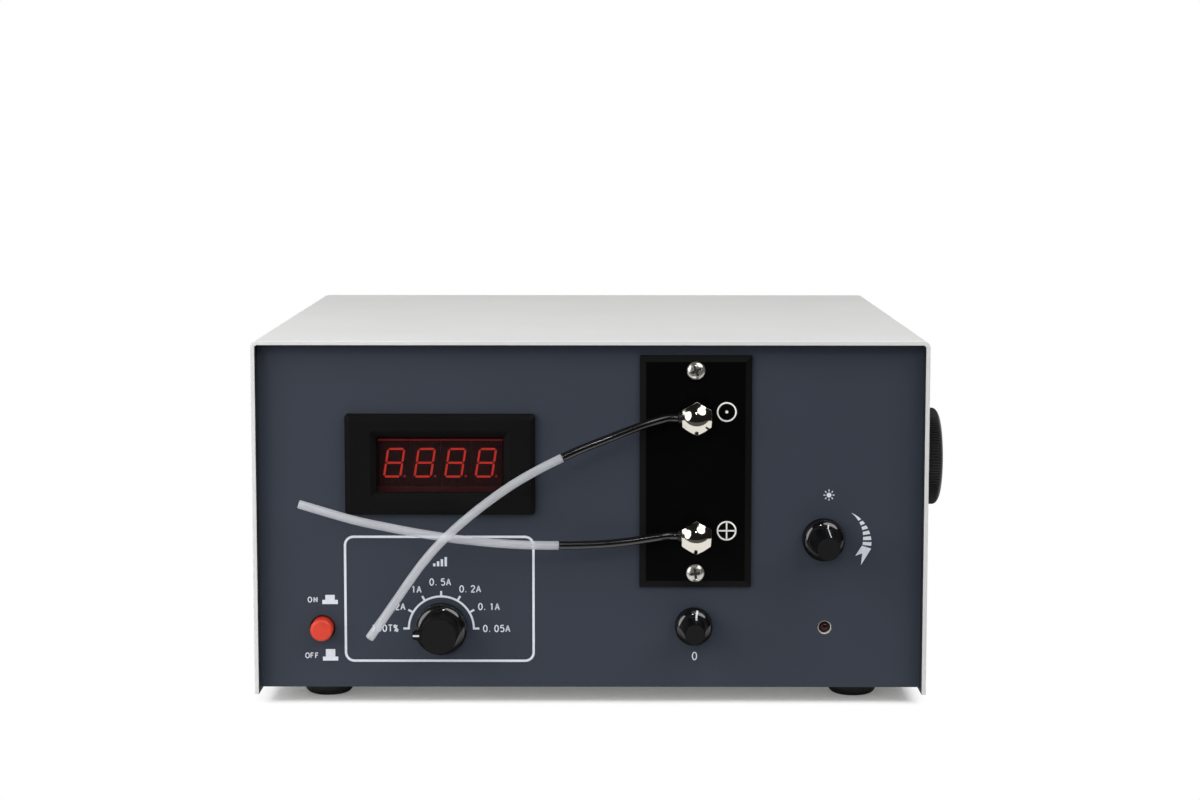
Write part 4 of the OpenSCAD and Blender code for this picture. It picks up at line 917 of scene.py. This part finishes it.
def indexLine(sizes, axis):
    # Stripe along the outline at one angle, given a width across it and a little height
    line = outerLine(sizes)
    out = np.linspace(sizes["from"], sizes["to"], knobs["lineSteps"])
    radius = np.interp(out, line[:, 1], line[:, 0])
    slope = np.gradient(radius, out)
    lean = unit(np.stack([np.ones_like(slope), -slope], -1))
    turn = math.radians(sizes["index"])
    beside = spokes(turn + math.pi / 2) * sizes["width"] / 2
    rise, depth = knobs["lineRise"], -knobs["lineDepth"]
    rows = []
    for side, lift in ((1, rise), (-1, rise), (-1, depth), (1, depth)):
        path = np.stack([radius, out], -1) + lift * lean
        rows.append(onPanel(onAxis(axis, path[:, 0], turn) + side * beside, path[:, 1]))
    return np.concatenate(rows), [gridFaces(4, len(out), closeRows=True), endColumns(4, len(out))]


def pointerNib(sizes, axis):
    # Tapered lug from the cone to the pointer's tip, with a rounded front
    high = knobs["gap"] + sizes["height"]
    back, front, edge = high - nib["back"], high - nib["front"], nib["edge"]
    section = softLine([(-1, back, 0), (-1, front, edge), (1, front, edge), (1, back, 0)], 5)
    along, halfWidth = np.array(nib["along"])[:, None], np.array(nib["halfWidth"])[:, None]
    x = axis.x / mm + along + 0 * section[:, 0]
    z = axis.z / mm + halfWidth * section[:, 0]
    rows, columns = x.shape
    groups = [gridFaces(rows, columns, closeColumns=True), endRows(rows, columns)]
    return onPanel(np.stack([x, z], -1), section[:, 1]), groups


def nibMark(sizes, axis):
    front, rise = knobs["gap"] + sizes["height"] - nib["front"], knobs["lineRise"]
    path = [(axis.x / mm + x, axis.z / mm) for x in nib["mark"]]
    return ribbon(path, nib["markWidth"], front - rise, front + rise)


for dial in ("range", "light", "zero"):
    sizes = knobs[dial]
    axis = middle(dial + "_shaft")
    patches = [turned(knobProfile(sizes), axis, knobs["steps"])]
    if "index" in sizes:
        mark = indexLine(sizes, axis)
    else:
        patches.append(pointerNib(sizes, axis))
        mark = nibMark(sizes, axis)
    knob = makePiece(dial + "_grip", patches, dial + "_dial", "knob_plastic")
    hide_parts(dial + "_knob")
    makePiece(dial + "_mark", [mark], dial + "_dial", "white_plastic", ink)
print("knobs turned")


# Power button's return spring, wound at one length

spring = {"turns": 5, "stepsPerTurn": 36, "wire": 0.8, "sides": 10, "keep": 0.65}


def springWire():
    # Circle carried along a helix about the plunger, with flat ends
    low, high = cornersOf("power_spring")
    half, sides = spring["wire"] / 2, spring["sides"]
    reach = (high[0] - low[0]) / 2 - half
    turn = np.linspace(0, 2 * math.pi * spring["turns"], spring["stepsPerTurn"] * spring["turns"] + 1)
    spoke = np.stack([np.cos(turn), 0 * turn, np.sin(turn)], -1)
    line = (low + high) / 2 + reach * spoke
    line[:, 1] = np.linspace(low[1] + half, high[1] - half, len(turn))
    beside = np.cross(unit(np.gradient(line, axis=0)), spoke)
    points = (line[:, None] + half * ringsRound(spoke, beside, sides)) * mm
    return points, [gridFaces(len(line), sides, closeColumns=True), endRows(len(line), sides)]


coil = makePiece("return_spring", [springWire()], "case", "screw_steel", sharpAngle=50)
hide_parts("power_spring")
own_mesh(coil)
print("spring wound")


# Side knob: straight knurl with a rounded outer edge

sideKnob = {"teeth": 108, "stepsPerTooth": 6, "toothDepth": 0.4, "fade": 1.6, "edge": (5.0, 3.0),
            "edgeSteps": 16, "backEdge": 0.5, "faceEdge": 0.3, "bore": 3.1, "crown": 2.5}


def sideGrip():
    # Radius falls and rises with the angle, once for each tooth; the teeth fade out round the outer edge
    low, high = cornersOf("wavelength_knob")
    radius, thick = (high[2] - low[2]) / 2, high[0] - low[0]
    bore, depth, soft = sideKnob["bore"], thick - sideKnob["crown"], sideKnob["backEdge"]
    inward, along = sideKnob["edge"]
    turn = np.linspace(0, math.pi / 2, sideKnob["edgeSteps"])
    rounding = (radius, thick) - (1 - spokes(turn)) * (inward, along)
    back = [(0, depth), (bore, depth), (bore, 0), (radius - soft, 0), (radius, soft)]
    front = [(radius - inward - sideKnob["faceEdge"], thick), (0, thick)]
    profile = np.vstack([back, rounding, front])
    steps = sideKnob["teeth"] * sideKnob["stepsPerTooth"]
    angle = around(steps)
    share = np.clip((profile[:, :1] - radius) / sideKnob["fade"] + 1, 0, 1)
    tooth = np.abs((angle * sideKnob["teeth"] / (2 * math.pi)) % 1 - 0.5) * 2
    reach = profile[:, :1] - share * sideKnob["toothDepth"] * (1 - tooth ** 2)
    centre = middle("wavelength_knob")
    y = centre.y + reach * np.cos(angle) * mm
    z = centre.z + reach * np.sin(angle) * mm
    x = (low[0] + profile[:, 1:] + 0 * angle) * mm
    return np.stack([x, y, z], -1), [gridFaces(len(profile), steps, closeColumns=True)]


grip = makePiece("wavelength_grip", [sideGrip()], "wavelength_selector", "knob_plastic",
                 plastic("knurled plastic", tone(7, 7, 8), 0.36, shine=0.25), sharpAngle=50)
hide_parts("wavelength_knob")
print("side knob knurled")


# Panel print: frame, dial scale, labels and signs

legend = {
    "low": -0.02, "high": 0.05, "roundSteps": 28,
    "frame": {"x": (-102.3, -23.7), "z": (18.6, 71.1), "corner": 3.6, "line": 1.0},
    "dial": {"radius": 13.6, "line": 0.85, "tick": 2.3, "steps": 7, "lift": -0.2, "tickRise": 0.005},
    "text": {"height": 3.15, "pitch": 2.35, "line": 0.47},
    "labels": {"100T%": (-86.0, 32.4), "2A": (-79.5, 41.6), "1A": (-72.7, 48.9), "0.5A": (-62.7, 52.0),
               "0.2A": (-50.2, 49.1), "0.1A": (-42.4, 41.6), "0.05A": (-39.2, 32.3)},
    "wordText": {"height": 2.5, "line": 0.4},
    "words": {"ON": (-116.0, 44.5, 2.35), "OFF": (-116.5, 20.8, 1.95)},
    "zero": {"place": (43.65, 20.7), "height": 3.6},
    "pressed": {"x": -108.75, "foot": 42.6, "bar": (6.5, 1.8), "block": (3.95, 2.1)},
    "released": {"x": -108.78, "foot": 18.6, "bar": (6.4, 1.7), "block": (3.95, 3.2)},
    "sun": {"place": (99.3, 88.8), "disc": 1.0, "rays": 8, "inner": 1.5, "outer": 2.3, "line": 0.42},
    "bars": {"place": (-62.7, 60.6), "width": 1.0, "pitch": 1.6, "heights": (1.2, 2.1, 3.0, 3.9)},
    "wedge": {"centre": (97.5, 69.5), "radius": 17.9, "half": 1.8, "from": 46.0, "thin": 0.02, "taper": 0.9,
              "drift": 1.6,
              "cuts": ((46, 31), (28.3, 23.4), (20.8, 16.2), (13.4, 8.8), (6.0, 1.2), (-1.4, -6.0)),
              "tail": ((15.7, -2.0), (19.6, -3.2), (15.4, -10.2), (15.9, -5.2), (13.0, -6.3))},
}
strokes = {
    "0": [("round", 0.0, 0.0, 0.28, 0.5, 0, 360)],
    "1": [("line", (-0.14, 0.33), (0.05, 0.5), (0.05, -0.5))],
    "2": [("round", 0.0, 0.24, 0.26, 0.26, 165, -38), ("line", (0.2, 0.08), (-0.28, -0.5), (0.29, -0.5))],
    "5": [("line", (0.24, 0.5), (-0.2, 0.5), (-0.24, 0.06)), ("round", 0.0, -0.17, 0.27, 0.33, 142, -142)],
    "A": [("line", (-0.31, -0.5), (0.0, 0.5), (0.31, -0.5)), ("line", (-0.2, -0.16), (0.2, -0.16))],
    "T": [("line", (-0.29, 0.5), (0.29, 0.5)), ("line", (0.0, 0.5), (0.0, -0.5))],
    "%": [("round", -0.17, 0.3, 0.13, 0.2, 0, 360), ("round", 0.17, -0.3, 0.13, 0.2, 0, 360),
          ("line", (0.2, 0.5), (-0.2, -0.5))],
    ".": [("line", (-0.27, -0.45), (-0.15, -0.45))],
    "O": [("round", 0.0, 0.0, 0.36, 0.5, 0, 360)],
    "N": [("line", (-0.3, -0.5), (-0.3, 0.5), (0.3, -0.5), (0.3, 0.5))],
    "F": [("line", (0.26, 0.5), (-0.24, 0.5), (-0.24, -0.5)), ("line", (-0.24, 0.04), (0.18, 0.04))],
}


def printed(path, width, closed=False, rise=0.0):
    return ribbon(path, width, legend["low"], legend["high"] + rise, closed)


def filled(outline):
    return plate(np.array(outline), legend["low"], legend["high"])


def letters(words, centre, pen):
    # Characters of one line's width at an even pitch, made of parts of ellipses and of straight lines
    patches = []
    for place, character in enumerate(words):
        spot = (centre[0] + (place - (len(words) - 1) / 2) * pen["pitch"], centre[1])
        for kind, *shape in strokes[character]:
            closed = False
            if kind == "round":
                x, z, wide, tall, start, end = shape
                closed = end - start == 360
                paths = [circle((0, 0), 1.0, legend["roundSteps"], start, end) * (wide, tall) + (x, z)]
            else:
                paths = [np.array(ends) for ends in zip(shape[:-1], shape[1:])]
            for path in paths:
                patches.append(printed(path * (pen["height"] - pen["line"]) + spot, pen["line"], closed))
    return patches


def labelPatches():
    text = legend["text"]
    patches = []
    for words, centre in legend["labels"].items():
        patches += letters(words, centre, text)
    for words, (x, z, pitch) in legend["words"].items():
        patches += letters(words, (x, z), {**legend["wordText"], "pitch": pitch})
    return patches + letters("0", legend["zero"]["place"], {**text, "height": legend["zero"]["height"]})


def framePatch():
    # Rounded rectangle: four quarter circles joined by straight lines
    (left, right), (low, high) = legend["frame"]["x"], legend["frame"]["z"]
    corner = legend["frame"]["corner"]
    centres = [(right - corner, high - corner), (left + corner, high - corner),
               (left + corner, low + corner), (right - corner, low + corner)]
    arcs = [circle(centre, corner, 10, 90 * turn, 90 * turn + 90) for turn, centre in enumerate(centres)]
    return printed(np.concatenate(arcs), legend["frame"]["line"], closed=True)


def dialPatches():
    # Half circle over the knob, with a tick outwards at every step
    dial, axis = legend["dial"], middle("range_shaft")
    centre = np.array([axis.x / mm, axis.z / mm + dial["lift"]])
    radii = np.array([[dial["radius"] - dial["line"] / 2], [dial["radius"] + dial["tick"]]])
    ticks = spokes(np.linspace(0, math.pi, dial["steps"]))
    arc = printed(circle(centre, dial["radius"], 64, 0, 180), dial["line"])
    return [arc] + [printed(centre + radii * tick, dial["line"], rise=dial["tickRise"]) for tick in ticks]


def buttonSign(sign):
    # A block on a bar: the button low when pressed, high when released
    x, foot = sign["x"], sign["foot"]
    bar, block = sign["bar"][0] / 2, sign["block"][0] / 2
    step = foot + sign["bar"][1]
    top = step + sign["block"][1]
    return filled([(x - bar, foot), (x + bar, foot), (x + bar, step), (x + block, step),
                   (x + block, top), (x - block, top), (x - block, step), (x - bar, step)])


def sunPatches():
    # Disc with rays round it
    sun = legend["sun"]
    place, radii = np.array(sun["place"]), np.array([[sun["inner"]], [sun["outer"]]])
    rays = [printed(place + radii * ray, sun["line"]) for ray in spokes(around(sun["rays"]))]
    return rays + [filled(circle(sun["place"], sun["disc"], 24))]


def barPatches():
    # Rising bars, for the range of the dial below
    bars = legend["bars"]
    heights, half = bars["heights"], bars["width"] / 2
    foot = bars["place"][1] - max(heights) / 2
    patches = []
    for place, tall in enumerate(heights):
        x = bars["place"][0] + (place - (len(heights) - 1) / 2) * bars["pitch"]
        left, right, top = x - half, x + half, foot + tall
        patches.append(filled([(left, foot), (right, foot), (right, top), (left, top)]))
    return patches


def wedgePatches():
    # Arrow on a circle round the light knob: bands that widen as they go down, then a forked tail
    wedge = legend["wedge"]
    centre = np.array(wedge["centre"])
    patches = []
    for start, end in wedge["cuts"]:
        angle = np.linspace(start, end, 8)
        share = np.clip(angle / wedge["from"], 0, 1)
        half = wedge["half"] * np.maximum(1 - share, wedge["thin"]) ** wedge["taper"]
        radius = wedge["radius"] - wedge["drift"] * share ** 2
        edges = [centre + (radius + side * half)[:, None] * spokes(np.radians(angle)) for side in (1, -1)]
        patches.append(filled(np.concatenate([edges[0], edges[1][::-1]])))
    return patches + [filled(np.array(wedge["tail"]) + centre)]


signs = [buttonSign(legend["pressed"]), buttonSign(legend["released"])] + sunPatches() + barPatches()
prints = {"dial_frame": [framePatch()], "dial_scale": dialPatches(), "dial_labels": labelPatches(),
          "panel_signs": signs, "light_wedge": wedgePatches()}
for name, patches in prints.items():
    makePiece(name, patches, "case", "white_plastic", ink)
print("panel printed")


# Stage: floor, lamps and surroundings

stage = {
    "floor": {"x": (-0.6, 0.6), "y": (-0.45, 0.6), "white": 1.0, "bounce": 0.6, "glow": 0.16,
              "shadow": (0.1335, 0.1262), "blend": 0.009, "flag": -0.26, "flagged": 0.9},
    "world": {"fill": 0.14, "dark": 0.012, "edge": 0.1},
    "aim": (0.03, -0.12, 0.08),
    "lamps": {  # direction from the aim, distance, width and height, power, rays that see it
        "left": ((-0.86, -0.25, 0.44), 0.8, (0.9, 0.7), 5.2, "diffuse"),
        "right": ((0.58, -0.34, 0.74), 1.2, (1.1, 1.2), 11.6, "diffuse"),
        "front": ((-0.45, -0.85, 0.28), 0.9, (0.7, 0.7), 2.6, "diffuse"),
        "small": ((-0.03, -0.8, 0.6), 1.0, (0.07, 0.06), 0.6, "both"),
        "leftCard": ((-0.81, -0.51, 0.29), 0.8, (0.6, 0.74), 2.6, "gloss"),
        "rightCard": ((0.46, -0.51, 0.72), 1.0, (0.86, 0.86), 4.4, "gloss"),
    },
}


def rayMask(start, names):
    # 1 for a ray of any of the named kinds
    path = start.make("LightPath", {}, {}, names[0])
    for name in names[1:]:
        path = start.math("MAXIMUM", path, start.make("LightPath", {}, {}, name))
    return path


def makeFloor():
    # Pale table: it takes the object's shadow near its footprint and turns plain white further away; in
    # reflections its front is dark, as behind a flag
    sizes = stage["floor"]
    (left, right), (front, rear) = sizes["x"], sizes["y"]
    mesh = bpy.data.meshes.new("floor")
    corners = [(left, front, 0), (right, front, 0), (right, rear, 0), (left, rear, 0)]
    mesh.from_pydata(corners, [], [(0, 1, 2, 3)])
    floor = addObject("floor", mesh)
    material = bpy.data.materials.new("floor white")
    surface, start = freshTree(material, "Material")
    seen = rayMask(start, ["Is Camera Ray", "Is Glossy Ray", "Is Transmission Ray"])
    grain = 0.98 + 0.02 * start.noise(30.0)
    flag = rayMask(start, ["Is Glossy Ray"]) * (start.split()[1] < sizes["flag"])
    clear = 1.0 - sizes["flagged"] * flag
    bright = (sizes["bounce"] + seen * (sizes["white"] - sizes["bounce"])) * grain * clear
    colour = start.make("CombineXYZ", {}, {0: bright, 1: bright, 2: bright})
    matte = start.make("BsdfDiffuse", {}, {"Color": colour})
    glow = start.make("Emission", {}, {"Strength": rayMask(start, ["Is Camera Ray"]) * sizes["glow"]})
    near = start.make("AddShader", {}, {0: matte, 1: glow})
    outside = [part.size() - half for part, half in zip(start.split(), sizes["shadow"])]
    fade = (start.math("MAXIMUM", *outside) * (1 / sizes["blend"])).limit()
    white = start.make("Emission", {}, {"Strength": clear})
    connect(surface, start.make("MixShader", {}, {0: fade * seen, 1: near, 2: white}))
    mesh.materials.append(material)


def makeWorld():
    # White background to the camera and in reflections, dark where a reflection looks to the camera's side
    sizes = stage["world"]
    world = bpy.data.worlds.new("surroundings")
    bpy.context.scene.world = world
    surface, start = freshTree(world, "World", "Generated")
    behind = start.split()[1] > sizes["edge"]
    mirrored = sizes["dark"] + behind * (1.0 - sizes["dark"])
    level = sizes["fill"] + rayMask(start, ["Is Glossy Ray"]) * (mirrored - sizes["fill"])
    seen = rayMask(start, ["Is Camera Ray", "Is Transmission Ray"])
    level = level + seen * (1.0 - level)
    connect(surface, start.make("Background", {}, {"Color": (1.0, 1.0, 1.0, 1.0), "Strength": level}))


def makeLamp(name, towards, away, size, power, rays):
    # Area lamp turned to the aim; a card is a round one that only reflections see
    data = bpy.data.lights.new(name, "AREA")
    data.shape = "ELLIPSE" if rays == "gloss" else "RECTANGLE"
    data.size, data.size_y = size
    data.energy = power
    lamp = addObject(name, data)
    back = unit(np.array(towards))
    right = unit(np.cross((0, 0, 1), back))
    setPlace(lamp, np.array(stage["aim"]) + back * away, right, np.cross(back, right), back)
    lamp.visible_camera = False
    lamp.visible_glossy = rays != "diffuse"
    lamp.visible_diffuse = rays != "gloss"


makeFloor()
makeWorld()
for lampName, settings in stage["lamps"].items():
    makeLamp("lamp_" + lampName, *settings)
bpy.context.scene.view_settings.view_transform = "Standard"
print("stage lit")
